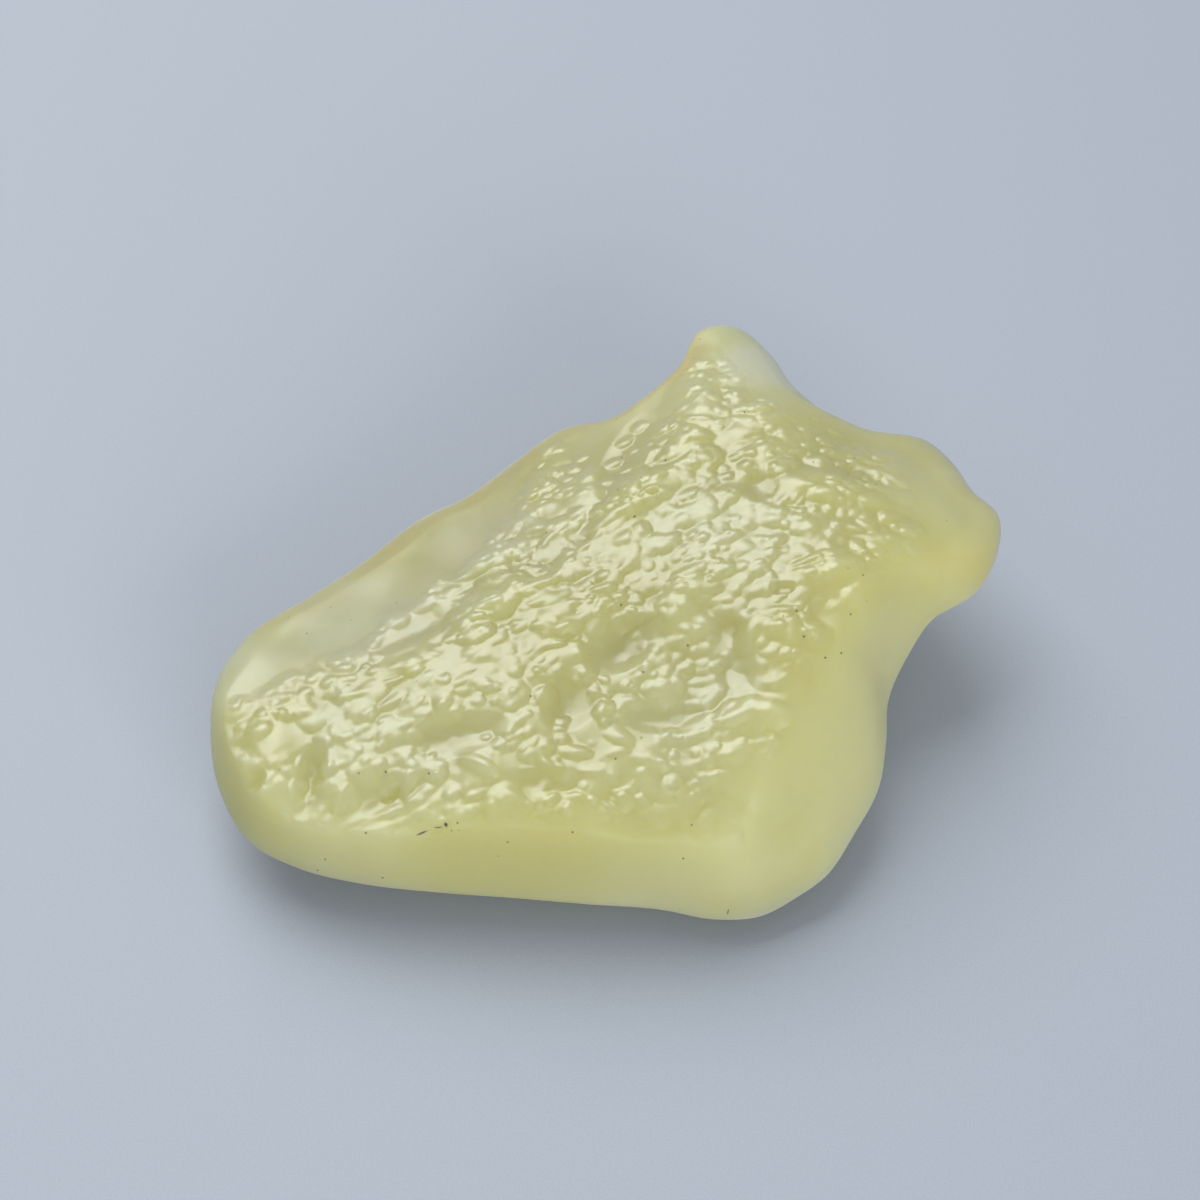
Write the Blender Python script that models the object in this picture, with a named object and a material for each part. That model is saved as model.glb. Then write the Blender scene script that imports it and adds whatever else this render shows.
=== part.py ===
"""Libyan desert glass: one wind-worn lump of natural glass, lying on a small flat under its belly.

All tables are in millimetres. Seen from above, the peak points to +Y, the knob to +X and the
steep, smooth front face to -Y. The relief is cut into the top only; the underside is smooth.
"""

import bpy
import numpy as np

MM = 0.001

# How finely the surface is sampled before it is thinned out, and how many facets are kept.
SECTIONS = 480
TOP_RINGS = 150
BELLY_RINGS = 60
FACETS = 9600

# The plan point that every section runs out from.
HEART = (2.0, -5.0)

# The widest edge of the stone, anticlockwise from the left end.
# x, y, z, reach of the shoulder above, reach of the heel below, squareness of shoulder and heel.
RIM = {
    "left_end": (-20.9, -10.2, 4.5, 1.0, 5.0, 2.0, 1.8),
    "left_foot": (-20.2, -13.4, 3.9, 1.0, 5.0, 2.0, 1.8),
    "front_left": (-18.3, -16.4, 3.2, 1.0, 5.0, 2.0, 1.8),
    "front_left_toe": (-15.8, -17.7, 2.9, 1.0, 5.0, 2.0, 1.8),
    "front_quarter": (-12.6, -18.5, 2.7, 1.0, 5.0, 2.0, 1.8),
    "front_mid": (-8.4, -19.0, 2.6, 1.0, 5.0, 2.0, 1.8),
    "front_heart": (-4.2, -19.3, 2.5, 1.0, 5.0, 2.0, 1.8),
    "front_wave": (-0.5, -19.6, 2.4, 1.0, 5.0, 2.0, 1.8),
    "front_right": (3.2, -19.8, 2.2, 1.0, 5.0, 2.0, 1.8),
    "toe": (6.3, -20.2, 1.8, 1.0, 4.0, 2.0, 1.8),
    "corner": (8.4, -20.0, 1.7, 1.0, 4.0, 2.0, 1.8),
    "corner_right": (10.5, -18.9, 1.9, 1.0, 4.0, 2.0, 1.8),
    "flank_low": (12.0, -17.9, 2.3, 1.2, 4.5, 2.0, 1.8),
    "flank": (13.7, -15.5, 3.0, 1.2, 5.0, 2.0, 1.8),
    "flank_mid": (15.0, -13.2, 3.6, 1.2, 5.0, 2.0, 1.8),
    "flank_high": (15.6, -10.3, 4.2, 1.2, 5.0, 2.0, 1.8),
    "waist": (15.8, -8.1, 4.8, 1.4, 5.0, 2.0, 1.8),
    "neck_low": (17.0, -5.6, 5.8, 1.8, 5.0, 1.8, 1.6),
    "neck": (18.4, -3.8, 6.7, 2.2, 5.0, 1.8, 1.5),
    "knob_low": (20.7, -2.7, 7.6, 2.4, 5.0, 1.8, 1.5),
    "knob_tip": (22.1, -0.2, 8.0, 1.8, 4.5, 2.0, 1.6),
    "knob_top": (22.3, 2.5, 8.2, 1.6, 4.0, 2.0, 1.8),
    "knob_notch": (21.2, 3.9, 8.3, 1.6, 4.0, 1.8, 1.8),
    "shoulder": (20.2, 6.3, 8.2, 2.0, 4.0, 1.6, 1.8),
    "shoulder_back": (18.7, 8.4, 8.0, 2.2, 4.0, 1.6, 1.8),
    "col_right": (15.8, 9.2, 7.8, 2.4, 4.0, 1.5, 1.8),
    "col": (13.4, 10.4, 8.0, 2.2, 4.0, 1.5, 1.8),
    "peak_right": (11.3, 12.6, 8.2, 1.8, 3.0, 1.6, 1.8),
    "peak_shoulder": (10.1, 14.9, 8.4, 1.4, 2.4, 1.8, 1.8),
    "peak_tip": (7.8, 17.0, 8.6, 1.2, 2.0, 2.0, 2.0),
    "peak_left": (6.3, 16.7, 8.5, 1.2, 2.0, 2.0, 2.0),
    "peak_flank": (4.8, 13.8, 8.1, 1.6, 2.6, 1.7, 1.8),
    "peak_foot": (2.9, 12.0, 7.6, 1.8, 3.0, 1.6, 1.8),
    "saddle": (0.9, 10.8, 7.1, 1.8, 4.0, 1.5, 1.8),
    "notch": (-2.0, 10.4, 6.8, 1.6, 4.0, 1.5, 1.8),
    "back_high": (-4.6, 8.4, 6.4, 1.6, 5.0, 1.5, 1.8),
    "back_mid": (-7.4, 5.9, 6.0, 1.6, 5.0, 1.5, 1.8),
    "back": (-10.2, 4.4, 5.6, 1.6, 5.0, 1.5, 1.8),
    "back_low": (-13.0, 1.7, 5.3, 1.8, 5.0, 1.6, 1.8),
    "back_left": (-16.2, -0.9, 5.0, 2.0, 5.0, 1.8, 1.8),
    "left_top": (-19.1, -3.3, 4.8, 2.2, 5.0, 1.9, 1.8),
    "left_back": (-20.7, -6.3, 4.7, 2.4, 5.0, 2.0, 1.8),
}

# Heights of the pebbled crown at chosen places: x, y, z.
CROWN = (
    (-18.6, -8.4, 7.0),
    (-17.8, -12.6, 7.0),
    (-15.6, -16.0, 6.4),
    (-12.4, -17.4, 6.3),
    (-9.6, -17.2, 6.9),
    (-10.9, -9.0, 8.6),
    (-10.6, -13.4, 7.9),
    (-5.4, -4.6, 9.5),
    (-4.3, -10.4, 9.4),
    (-2.2, -13.6, 8.8),
    (-5.4, -16.8, 7.9),
    (-1.0, -17.6, 7.7),
    (0.0, -8.6, 9.7),
    (2.1, -15.4, 8.4),
    (3.4, -17.8, 7.3),
    (5.4, -11.4, 9.3),
    (5.7, -15.6, 8.3),
    (6.6, -18.2, 7.0),
    (9.6, -11.4, 10.1),
    (11.6, -7.2, 11.4),
    (14.9, -4.0, 11.7),
    (8.4, -15.6, 8.8),
    (0.0, 2.6, 10.2),
    (5.3, -3.2, 11.2),
    (7.4, 1.6, 11.5),
    (6.5, 6.4, 11.2),
    (6.6, 11.0, 10.4),
    (10.0, 7.6, 11.3),
    (7.2, 15.0, 9.8),
    (13.2, 1.0, 11.7),
    (15.9, 2.6, 11.1),
    (17.6, -0.4, 10.9),
    (20.4, -0.2, 9.9),
    (-2.1, 7.6, 7.8),
    (-6.6, 1.2, 7.9),
    (-11.0, -1.2, 7.0),
    (-15.0, -4.0, 6.4),
    (15.0, 6.4, 9.7),
    (16.0, -7.0, 11.7),
    (13.0, -13.0, 9.8),
    (11.0, -18.0, 6.6),
)

# Smooth faces that the wind has planed across the crown. Each is a sheet through its own spots, and
# the top of the stone is whatever lies lowest.
FACES = {
    "front": (
        (-20.9, -10.2, 5.4),
        (-20.2, -13.4, 4.8),
        (-18.3, -16.4, 4.1),
        (-15.8, -17.8, 3.7),
        (-12.6, -18.6, 3.5),
        (-8.4, -19.1, 3.4),
        (-4.2, -19.4, 3.3),
        (0.0, -19.7, 3.1),
        (4.0, -20.0, 2.8),
        (7.5, -20.2, 2.4),
        (-19.3, -10.6, 8.6),
        (-18.6, -13.0, 8.2),
        (-17.2, -15.6, 7.8),
        (-15.0, -16.9, 7.8),
        (-11.8, -17.6, 8.0),
        (-8.0, -17.5, 9.2),
        (-4.0, -17.6, 9.6),
        (0.0, -17.9, 9.6),
        (4.0, -18.3, 8.4),
        (7.4, -18.5, 7.4),
        (-12.0, -10.0, 18.0),
        (0.0, -12.0, 20.0),
        (10.0, -12.0, 18.0),
        (18.0, -14.0, 12.0),
        (0.0, 8.0, 30.0),
    ),
    "right": (
        (8.4, -20.0, 2.4),
        (10.5, -18.9, 2.7),
        (12.1, -17.9, 3.2),
        (13.7, -15.5, 4.0),
        (15.0, -13.2, 4.7),
        (15.6, -10.3, 5.5),
        (15.8, -8.1, 6.2),
        (17.0, -5.6, 7.4),
        (10.6, -16.6, 6.0),
        (12.0, -14.0, 7.7),
        (13.6, -9.8, 9.4),
        (7.8, -18.4, 6.3),
        (8.7, -15.4, 9.3),
        (9.9, -12.2, 11.2),
        (11.9, -8.8, 12.0),
        (13.9, -6.3, 12.1),
        (16.2, -3.8, 11.6),
        (5.8, -15.5, 11.6),
        (7.4, -11.8, 13.6),
        (10.0, -7.0, 14.4),
        (14.0, -2.0, 14.2),
        (20.0, 0.0, 13.0),
        (6.0, 8.0, 22.0),
        (-8.0, -8.0, 26.0),
    ),
    "peak": (
        (10.1, 14.9, 8.8),
        (11.3, 12.6, 8.7),
        (12.6, 11.2, 8.7),
        (8.3, 16.0, 9.5),
        (8.5, 13.4, 10.4),
        (9.4, 11.0, 10.8),
        (6.0, 13.6, 11.8),
        (6.6, 9.6, 12.6),
        (12.0, 7.6, 12.5),
        (18.0, 8.0, 12.0),
        (0.0, 0.0, 20.0),
    ),
}

# Heights of the belly. Where they fall below zero the stone is worn away to its resting flat.
BELLY = (
    (1.0, -7.5, -0.5),
    (6.5, -8.5, -0.3),
    (-4.5, -8.0, -0.3),
    (1.5, -13.0, -0.1),
    (1.0, -2.5, 0.2),
    (-12.0, -11.0, 1.2),
    (-17.0, -10.0, 2.4),
    (-9.0, 0.5, 2.4),
    (0.5, 7.0, 3.8),
    (7.0, 5.0, 3.4),
    (7.5, 13.5, 6.6),
    (15.0, 4.0, 5.0),
    (19.5, 0.0, 6.4),
    (12.0, -3.0, 2.0),
    (12.0, -13.0, 1.2),
    (7.0, -17.0, 0.6),
    (-6.0, -16.5, 0.9),
    (-14.0, -15.5, 1.6),
)

# The lumps that stand out on the top: x, y, half length, half width, turn in degrees, height.
PEAK_LUMPS = (
    (6.2, 12.7, 0.6, 0.5, 30, 0.2),
    (7.6, 9.2, 0.7, 0.6, 0, 0.25),
    (8.8, 7.8, 0.95, 0.8, 0, 0.4),
    (5.9, 9.1, 1.7, 0.8, 85, 0.25),
    (5.2, 5.7, 1.5, 0.7, -8, 0.35),
    (8.3, 5.8, 1.1, 0.55, 0, 0.2),
    (4.7, 8.5, 0.7, 0.55, 20, 0.2),
    (3.8, 6.9, 0.9, 0.5, 10, 0.2),
    (3.9, 4.9, 1.1, 0.8, 40, 0.25),
    (5.3, 3.8, 1.3, 0.8, 5, 0.3),
    (8.5, 4.2, 1.2, 0.7, -10, 0.25),
    (10.3, 3.6, 1.1, 0.8, -35, 0.25),
    (12.3, 3.7, 1.0, 0.7, -20, 0.25),
    (13.4, 7.1, 0.6, 0.4, -30, 0.2),
    (3.3, 2.7, 0.9, 0.6, 10, 0.2),
    (5.1, 1.4, 1.3, 0.8, 0, 0.3),
    (7.0, 1.0, 0.9, 0.8, 0, 0.3),
)
KNOB_SIDE_LUMPS = (
    (10.8, 1.5, 1.3, 0.8, -35, 0.3),
    (12.2, 0.7, 1.0, 0.8, -20, 0.3),
    (13.5, 1.0, 0.8, 0.4, -45, 0.2),
    (15.0, 0.7, 1.2, 0.8, -10, 0.3),
    (14.8, 4.6, 0.9, 0.4, -20, 0.2),
    (16.6, 5.0, 0.6, 0.4, -30, 0.2),
    (16.1, 2.4, 0.5, 0.4, 0, 0.2),
    (9.6, -0.8, 0.8, 0.8, 0, 0.3),
    (10.9, -1.8, 0.9, 0.4, 0, 0.2),
    (13.8, -1.5, 0.9, 0.5, -30, 0.25),
    (9.1, -3.2, 1.0, 0.5, 0, 0.25),
    (11.7, -3.6, 1.7, 0.45, 22, 0.25),
    (12.6, -4.5, 1.1, 0.9, 10, 0.3),
    (14.5, -4.9, 1.1, 0.6, 10, 0.3),
    (14.7, -6.9, 1.7, 0.6, 62, 0.25),
    (16.6, -4.0, 1.2, 0.4, 82, 0.25),
    (17.2, -1.2, 0.7, 0.35, 80, 0.2),
)
CENTRE_LUMPS = (
    (0.3, 0.0, 1.7, 0.7, 28, 0.35),
    (-0.8, -1.5, 0.8, 0.5, 30, 0.25),
    (1.3, -1.6, 0.9, 0.7, 30, 0.3),
    (3.4, -1.9, 1.3, 1.1, 0, 0.4),
    (6.8, -2.0, 1.4, 0.7, 15, 0.35),
    (4.9, -4.0, 1.3, 0.6, 28, 0.35),
    (6.6, -4.0, 1.0, 0.8, 0, 0.4),
    (6.3, -5.9, 1.2, 0.6, 0, 0.25),
    (5.0, -7.5, 1.8, 1.0, 32, 0.45),
    (8.1, -7.8, 1.7, 0.9, 62, 0.45),
    (8.5, -5.4, 0.6, 0.5, 60, 0.2),
    (9.7, -8.0, 1.3, 0.9, 10, 0.35),
    (9.9, -6.8, 0.9, 0.4, 0, 0.2),
    (9.8, -9.6, 1.0, 0.5, 5, 0.25),
    (9.2, -10.9, 0.8, 0.6, 0, 0.3),
    (7.0, -12.7, 1.5, 0.7, 8, 0.35),
    (9.2, -12.7, 1.1, 0.8, 0, 0.35),
    (4.2, -10.3, 1.0, 0.8, -30, 0.3),
    (3.2, -9.0, 0.9, 0.7, 40, 0.25),
    (5.6, -9.6, 0.8, 0.7, 0, 0.25),
    (1.5, -11.4, 1.1, 0.7, -10, 0.3),
    (2.4, -9.9, 0.5, 0.4, 0, 0.2),
    (0.2, -4.7, 1.0, 0.5, 5, 0.25),
    (0.2, -5.8, 0.7, 0.4, 0, 0.2),
    (1.9, -5.5, 0.6, 0.4, 0, 0.2),
)
LEFT_LUMPS = (
    (-2.7, 8.2, 1.0, 0.6, 50, 0.2),
    (-1.1, 6.4, 0.6, 0.5, 0, 0.2),
    (-2.9, 2.3, 1.0, 0.6, 0, 0.25),
    (-3.0, 4.4, 0.5, 0.6, 0, 0.2),
    (-3.6, 0.6, 1.1, 0.6, 0, 0.25),
    (-4.9, -1.0, 0.7, 0.6, 0, 0.25),
    (-6.8, -2.2, 1.4, 0.6, 15, 0.3),
    (-7.8, -3.3, 0.6, 0.4, 0, 0.2),
    (-2.8, -3.9, 1.5, 0.5, 25, 0.35),
    (-5.6, -5.0, 1.6, 0.9, 0, 0.35),
    (-3.3, -5.4, 0.6, 0.4, 0, 0.2),
    (-1.2, -5.6, 0.7, 0.4, 0, 0.2),
    (-1.6, -6.9, 1.2, 0.6, 15, 0.35),
    (-3.2, -7.0, 0.5, 0.4, 0, 0.2),
    (-2.3, -8.1, 0.9, 0.5, 0, 0.25),
    (-1.1, -8.8, 0.4, 0.6, 0, 0.2),
    (-3.1, -9.7, 0.8, 0.4, -45, 0.25),
    (0.3, -12.2, 0.5, 0.9, 20, 0.2),
    (-5.7, -10.6, 0.9, 0.5, -5, 0.3),
    (-4.6, -11.8, 0.6, 0.4, -40, 0.2),
    (-4.4, -12.7, 0.8, 0.5, 0, 0.25),
    (-8.3, -11.3, 0.8, 0.5, 35, 0.25),
    (-9.6, -11.1, 0.8, 0.4, 50, 0.25),
    (-10.9, -10.8, 1.0, 0.5, 30, 0.25),
    (-11.1, -9.6, 1.1, 0.3, 3, 0.2),
    (-12.6, -10.1, 1.0, 0.4, 20, 0.2),
    (-12.2, -11.4, 0.7, 0.4, 0, 0.2),
    (-13.7, -10.3, 0.7, 0.5, 0, 0.2),
    (-16.7, -8.6, 1.0, 0.3, 8, 0.2),
    (-16.4, -9.9, 0.9, 0.4, 0, 0.2),
    (-17.6, -10.2, 0.6, 0.4, -40, 0.2),
)
LOBE_LUMPS = (
    (-18.1, -11.9, 1.0, 0.8, 0, 0.4),
    (-16.9, -15.3, 1.4, 1.2, 30, 0.35),
    (-16.2, -17.0, 0.4, 0.8, 10, 0.2),
    (-14.1, -12.1, 0.8, 0.4, 0, 0.2),
    (-13.2, -12.8, 0.8, 0.35, 20, 0.2),
    (-14.1, -13.9, 1.2, 0.5, 80, 0.3),
    (-13.3, -15.8, 1.2, 0.7, 70, 0.4),
    (-12.1, -14.5, 1.3, 1.1, 0, 0.4),
    (-9.7, -15.3, 1.2, 0.5, 65, 0.35),
    (-8.4, -15.1, 0.8, 0.6, 80, 0.3),
    (-11.2, -16.8, 1.1, 0.5, 20, 0.3),
    (-12.5, -17.2, 0.8, 0.4, 25, 0.25),
    (-11.7, -17.8, 1.5, 0.6, 15, 0.3),
    (-9.4, -17.1, 1.6, 0.4, 25, 0.2),
    (-6.2, -15.0, 1.35, 0.5, -28, 0.55),
    (-7.6, -16.2, 0.7, 0.6, 0, 0.3),
    (-6.3, -16.5, 0.9, 0.4, 20, 0.25),
    (-4.5, -16.8, 1.0, 0.6, -30, 0.25),
)
FRONT_LUMPS = (
    (-2.9, -14.8, 1.1, 0.4, -35, 0.25),
    (-1.3, -14.3, 1.1, 0.5, -15, 0.3),
    (-0.2, -15.4, 1.3, 0.5, 0, 0.3),
    (1.0, -14.5, 0.9, 0.4, 10, 0.25),
    (2.7, -14.8, 1.5, 0.6, -10, 0.35),
    (5.0, -13.6, 1.2, 0.6, 20, 0.3),
    (7.0, -14.5, 1.2, 0.9, 15, 0.4),
    (8.8, -14.0, 0.8, 0.6, 0, 0.25),
    (4.8, -15.0, 0.8, 0.4, 10, 0.2),
    (5.6, -15.8, 1.3, 0.5, 5, 0.3),
    (2.1, -16.9, 0.9, 0.4, -20, 0.25),
    (-1.2, -16.9, 0.6, 0.4, 0, 0.2),
    (0.6, -17.2, 0.8, 0.3, -30, 0.2),
    (4.2, -17.1, 1.4, 0.9, 10, 0.4),
    (4.6, -18.4, 1.0, 0.4, 30, 0.2),
    (6.4, -18.3, 0.9, 0.4, 45, 0.2),
)

# Broad folds of the top, ridges above zero and troughs below: x, y, half length, half width, turn, height.
FOLDS = (
    (5.2, 8.0, 6.0, 1.7, 84, 0.45),
    (2.4, 1.6, 4.2, 1.6, 40, 0.4),
    (1.4, 4.8, 4.6, 1.2, 74, -0.45),
    (-2.0, -1.6, 3.6, 1.1, 42, -0.4),
    (-3.0, 4.4, 4.6, 1.4, 80, 0.3),
    (-5.8, -1.4, 3.0, 1.4, 30, 0.3),
    (-5.2, -5.0, 3.2, 1.6, 12, 0.35),
    (-2.2, -6.4, 2.8, 1.6, 24, 0.3),
    (-9.4, -5.8, 3.4, 1.2, 30, -0.35),
    (1.4, -8.2, 2.6, 1.6, 34, -0.55),
    (-1.4, -11.4, 2.0, 1.6, 60, -0.45),
    (7.1, -9.4, 1.2, 3.2, 6, -0.3),
    (3.4, -12.4, 2.4, 1.0, 0, -0.3),
    (-7.4, -13.2, 3.2, 1.3, 8, -0.4),
    (-2.6, -16.0, 3.0, 0.8, 0, -0.25),
    (9.4, -8.8, 2.0, 3.4, 4, 0.35),
    (7.6, -12.8, 3.6, 1.3, 6, 0.35),
    (4.6, -5.8, 3.2, 1.6, 40, 0.35),
    (12.0, -8.2, 1.0, 2.6, 8, -0.25),
    (12.0, 1.4, 3.6, 1.8, -24, 0.4),
    (12.6, -4.4, 2.4, 1.4, 14, 0.35),
    (14.8, 2.8, 2.6, 0.9, -20, -0.35),
    (8.8, 1.8, 1.2, 1.6, 0, -0.25),
    (-12.6, -14.6, 2.4, 1.8, 20, 0.3),
    (-17.4, -13.6, 1.6, 3.4, 0, 0.25),
    (-15.0, -14.8, 0.9, 2.4, -10, -0.35),
    (-10.6, -16.2, 2.2, 0.7, 28, -0.25),
)

# Narrow pits: x, y, half length, half width, turn in degrees, depth.
PITS = (
    (9.8, -5.5, 0.8, 0.5, 0, 0.2),
    (3.0, 1.3, 0.4, 0.3, 0, 0.3),
    (-18.0, -14.7, 0.7, 0.8, 0, 0.3),
    (-10.8, -15.9, 0.6, 0.4, 30, 0.3),
    (-8.6, -18.1, 1.2, 0.3, 14, 0.35),
)

# The patch of the top that carries small pebbling, as a closed outline in plan.
PEBBLED = (
    (-19.6, -9.6),
    (-14.0, -7.2),
    (-9.5, -3.0),
    (-5.4, 1.0),
    (-4.2, 5.0),
    (-3.0, 8.4),
    (-0.6, 7.4),
    (0.2, 2.0),
    (3.6, 8.0),
    (5.2, 13.6),
    (7.2, 13.6),
    (8.6, 9.4),
    (13.4, 7.6),
    (17.2, 5.4),
    (17.4, -2.0),
    (15.6, -7.4),
    (12.0, -6.8),
    (10.6, -12.0),
    (8.6, -16.0),
    (7.2, -18.6),
    (3.0, -18.6),
    (-5.0, -17.2),
    (-11.6, -18.6),
    (-16.4, -17.8),
    (-19.2, -13.6),
)
# Calm spots inside that patch: x, y, radius.
CALM = (
    (7.0, -10.3, 1.3),
    (0.4, -8.4, 1.5),
    (-0.8, -12.2, 1.6),
    (-7.4, -13.4, 1.9),
    (-4.6, -15.6, 1.3),
    (-9.2, -5.6, 1.5),
    (-10.6, -7.0, 1.3),
    (3.4, -12.2, 1.2),
    (8.6, 1.4, 0.8),
    (1.0, 4.6, 1.4),
    (14.0, -7.6, 1.6),
)

# Small lumps over that patch: the distance from one to the next, which draw they come from, and the range
# of their half lengths and half widths as shares of that distance and of the half length. Then the usual
# turn and its spread, in degrees, and the range of their heights.
COBBLE_PITCH = 1.3
COBBLE_SEED = 5
COBBLE_REACH = (0.6, 1.25)
COBBLE_SLIMNESS = (0.65, 0.95)
COBBLE_TURN = (18.0, 45.0)
COBBLE_HEIGHT = (0.08, 0.24)

# The wind cut the near side of every lump steeper. This is how much, and the way it faces in plan.
LEAN = 0.7
LEE = (0.35, -0.94)

# Lumps and cobbles run together with this hardness: the higher, the crisper the crease between them.
CREASE = 5
MERGE = 3

# The share of its listed height that a worn lump still stands proud.
WORN = 0.8

# How far random bending pushes the lumps' outlines about, and a slight unevenness of the whole top.
BEND = 0.12
BEND_LENGTH = 3.0
UNEVEN = 0.1
UNEVEN_LENGTH = 4.0

# How many plain waves a random swell is made of.
WAVES = 7

# Over about how much height each smooth face blends into the crown.
SOFTNESS = {"front": 0.3, "right": 1.2, "peak": 0.7}

# Rings crowd towards the rim by this power, where the surface turns fastest.
CROWDING = 1.4

# Points this close to the ground belong to the resting flat.
FLAT_MARGIN = 0.04

GLASS_COLOUR = (0.62, 0.60, 0.29)
GLASS_ROUGHNESS = 0.35
GLASS_IOR = 1.46
GLASS_CLEARNESS = 0.35


def closed_curve(stations, count):
    """Evenly spaced rows on a smooth closed curve through the stations, by their distance in plan."""
    rows = np.array(stations, float)
    following = np.roll(rows, -1, 0)
    step = np.hypot(following[:, 0] - rows[:, 0], following[:, 1] - rows[:, 1])
    knots = np.concatenate([[0.0], np.cumsum(step)])
    ahead = step[:, None]
    behind = np.roll(ahead, 1, 0)
    slope = (following - rows) / ahead
    tangent = (np.roll(slope, 1, 0) * ahead + slope * behind) / (ahead + behind)
    at = np.linspace(0.0, knots[-1], count, endpoint=False)
    span = np.searchsorted(knots, at, side="right") - 1
    u = ((at - knots[span]) / step[span])[:, None]
    leave = tangent[span] * ahead[span]
    arrive = np.roll(tangent, -1, 0)[span] * ahead[span]
    start_share = 2 * u**3 - 3 * u**2 + 1
    leave_share = u**3 - 2 * u**2 + u
    arrive_share = u**3 - u**2
    ends = rows[span] * start_share + following[span] * (1 - start_share)
    return ends + leave * leave_share + arrive * arrive_share


def plate_bend(distance):
    """How a thin plate bends round a point load."""
    return distance**2 * np.log(distance + 1e-6)


def fitted_sheet(spots):
    """A height function that passes smoothly through the spots, as a thin plate would."""
    table = np.array(spots, float)
    posts = table[:, :2]
    count = len(posts)
    apart = np.hypot(posts[:, None, 0] - posts[None, :, 0], posts[:, None, 1] - posts[None, :, 1])
    tilt = np.column_stack([np.ones(count), posts])
    system = np.block([[plate_bend(apart), tilt], [tilt.T, np.zeros((3, 3))]])
    weights = np.linalg.solve(system, np.concatenate([table[:, 2], np.zeros(3)]))

    def height(plan):
        total = weights[count] + plan @ weights[count + 1 :]
        for post, weight in zip(posts, weights):
            away = np.hypot(plan[..., 0] - post[0], plan[..., 1] - post[1])
            total = total + weight * plate_bend(away)
        return total

    return height


def inside(plan, outline):
    """Which plan points lie inside a closed outline."""
    odd = np.zeros(plan.shape[:-1], bool)
    for start, end in zip(outline, outline[1:] + outline[:1]):
        crosses = (start[1] > plan[..., 1]) != (end[1] > plan[..., 1])
        share = (plan[..., 1] - start[1]) / (end[1] - start[1] + 1e-12)
        odd ^= crosses & (plan[..., 0] < start[0] + share * (end[0] - start[0]))
    return odd


def cobbles():
    """Small lumps side by side over the pebbled patch, each a little off its place in a grid."""
    random = np.random.default_rng(COBBLE_SEED)
    corners = np.array(PEBBLED)
    east, north = np.meshgrid(
        np.arange(corners[:, 0].min(), corners[:, 0].max(), COBBLE_PITCH),
        np.arange(corners[:, 1].min(), corners[:, 1].max(), COBBLE_PITCH),
    )
    spots = np.column_stack([east.ravel(), north.ravel()])
    spots += random.uniform(-0.5, 0.5, spots.shape) * COBBLE_PITCH
    spots = spots[inside(spots, PEBBLED)]
    for x, y, radius in CALM:
        spots = spots[np.hypot(spots[:, 0] - x, spots[:, 1] - y) > radius]
    half = random.uniform(*COBBLE_REACH, len(spots)) * COBBLE_PITCH
    slim = half * random.uniform(*COBBLE_SLIMNESS, len(spots))
    turn = random.normal(*COBBLE_TURN, len(spots))
    height = random.uniform(*COBBLE_HEIGHT, len(spots))
    return np.column_stack([spots, half, slim, turn, height])


def wave(plan, length, seed):
    """A soft random swell between -1 and 1 with about the given distance from crest to crest."""
    random = np.random.default_rng(seed)
    total = np.zeros(plan.shape[:-1])
    for _ in range(WAVES):
        heading = random.uniform(0.0, 2 * np.pi)
        pace = 2 * np.pi / (length * random.uniform(0.75, 1.4))
        travel = plan[..., 0] * np.cos(heading) + plan[..., 1] * np.sin(heading)
        total += np.sin(pace * travel + random.uniform(0.0, 2 * np.pi))
    return total / 4.0


def reach_over(plan, x, y, half, slim, turn):
    """How far each plan point is inside a lump, 1 at its middle and 0 outside, and its lean there."""
    east = plan[:, 0] - x
    north = plan[:, 1] - y
    cosine = np.cos(np.radians(turn))
    sine = np.sin(np.radians(turn))
    along = (east * cosine + north * sine) / half
    across = (north * cosine - east * sine) / slim
    lee_along = LEE[0] * cosine + LEE[1] * sine
    lee_across = LEE[1] * cosine - LEE[0] * sine
    to_edge = np.hypot(half * lee_along, slim * lee_across)
    lean = 1.0 + LEAN * (east * LEE[0] + north * LEE[1]) / to_edge
    return np.clip(1.0 - along**2 - across**2, 0.0, 1.0), lean


def laid_over(plan, lumps, add):
    """A total over every plan point, to which each lump adds within its own reach."""
    order = np.argsort(plan[..., 0], axis=None)
    flat = plan.reshape(-1, 2)[order]
    total = np.zeros(len(flat))
    for x, y, half, slim, turn, height in lumps:
        far = max(half, slim)
        first, last = np.searchsorted(flat[:, 0], (x - far, x + far))
        depth, lean = reach_over(flat[first:last], x, y, half, slim, turn)
        total[first:last] += add(depth, lean, height)
    spread = np.empty(len(flat))
    spread[order] = total
    return spread.reshape(plan.shape[:-1])


def domes(plan, lumps):
    """Height of rounded lumps that run into each other, over each plan point."""
    total = laid_over(plan, lumps, lambda depth, lean, height: (height * lean * depth) ** CREASE)
    return total ** (1.0 / CREASE)


def swells(plan, folds):
    """Soft ridges and troughs, added up."""
    return laid_over(plan, folds, lambda depth, lean, height: height * depth**1.5)


def relief(plan):
    """Folds, lumps and cobbles less pits, above the worn top."""
    bent = plan + BEND * np.dstack([wave(plan, BEND_LENGTH, seed) for seed in (1, 2)])
    large = PEAK_LUMPS + KNOB_SIDE_LUMPS + CENTRE_LUMPS + LEFT_LUMPS + LOBE_LUMPS + FRONT_LUMPS
    lumps = WORN * domes(bent, large)
    small = domes(bent, cobbles())
    raised = (lumps**MERGE + small**MERGE) ** (1.0 / MERGE)
    uneven = UNEVEN * wave(plan, UNEVEN_LENGTH, 3)
    return swells(plan, FOLDS) + uneven + raised - domes(plan, PITS)


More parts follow.
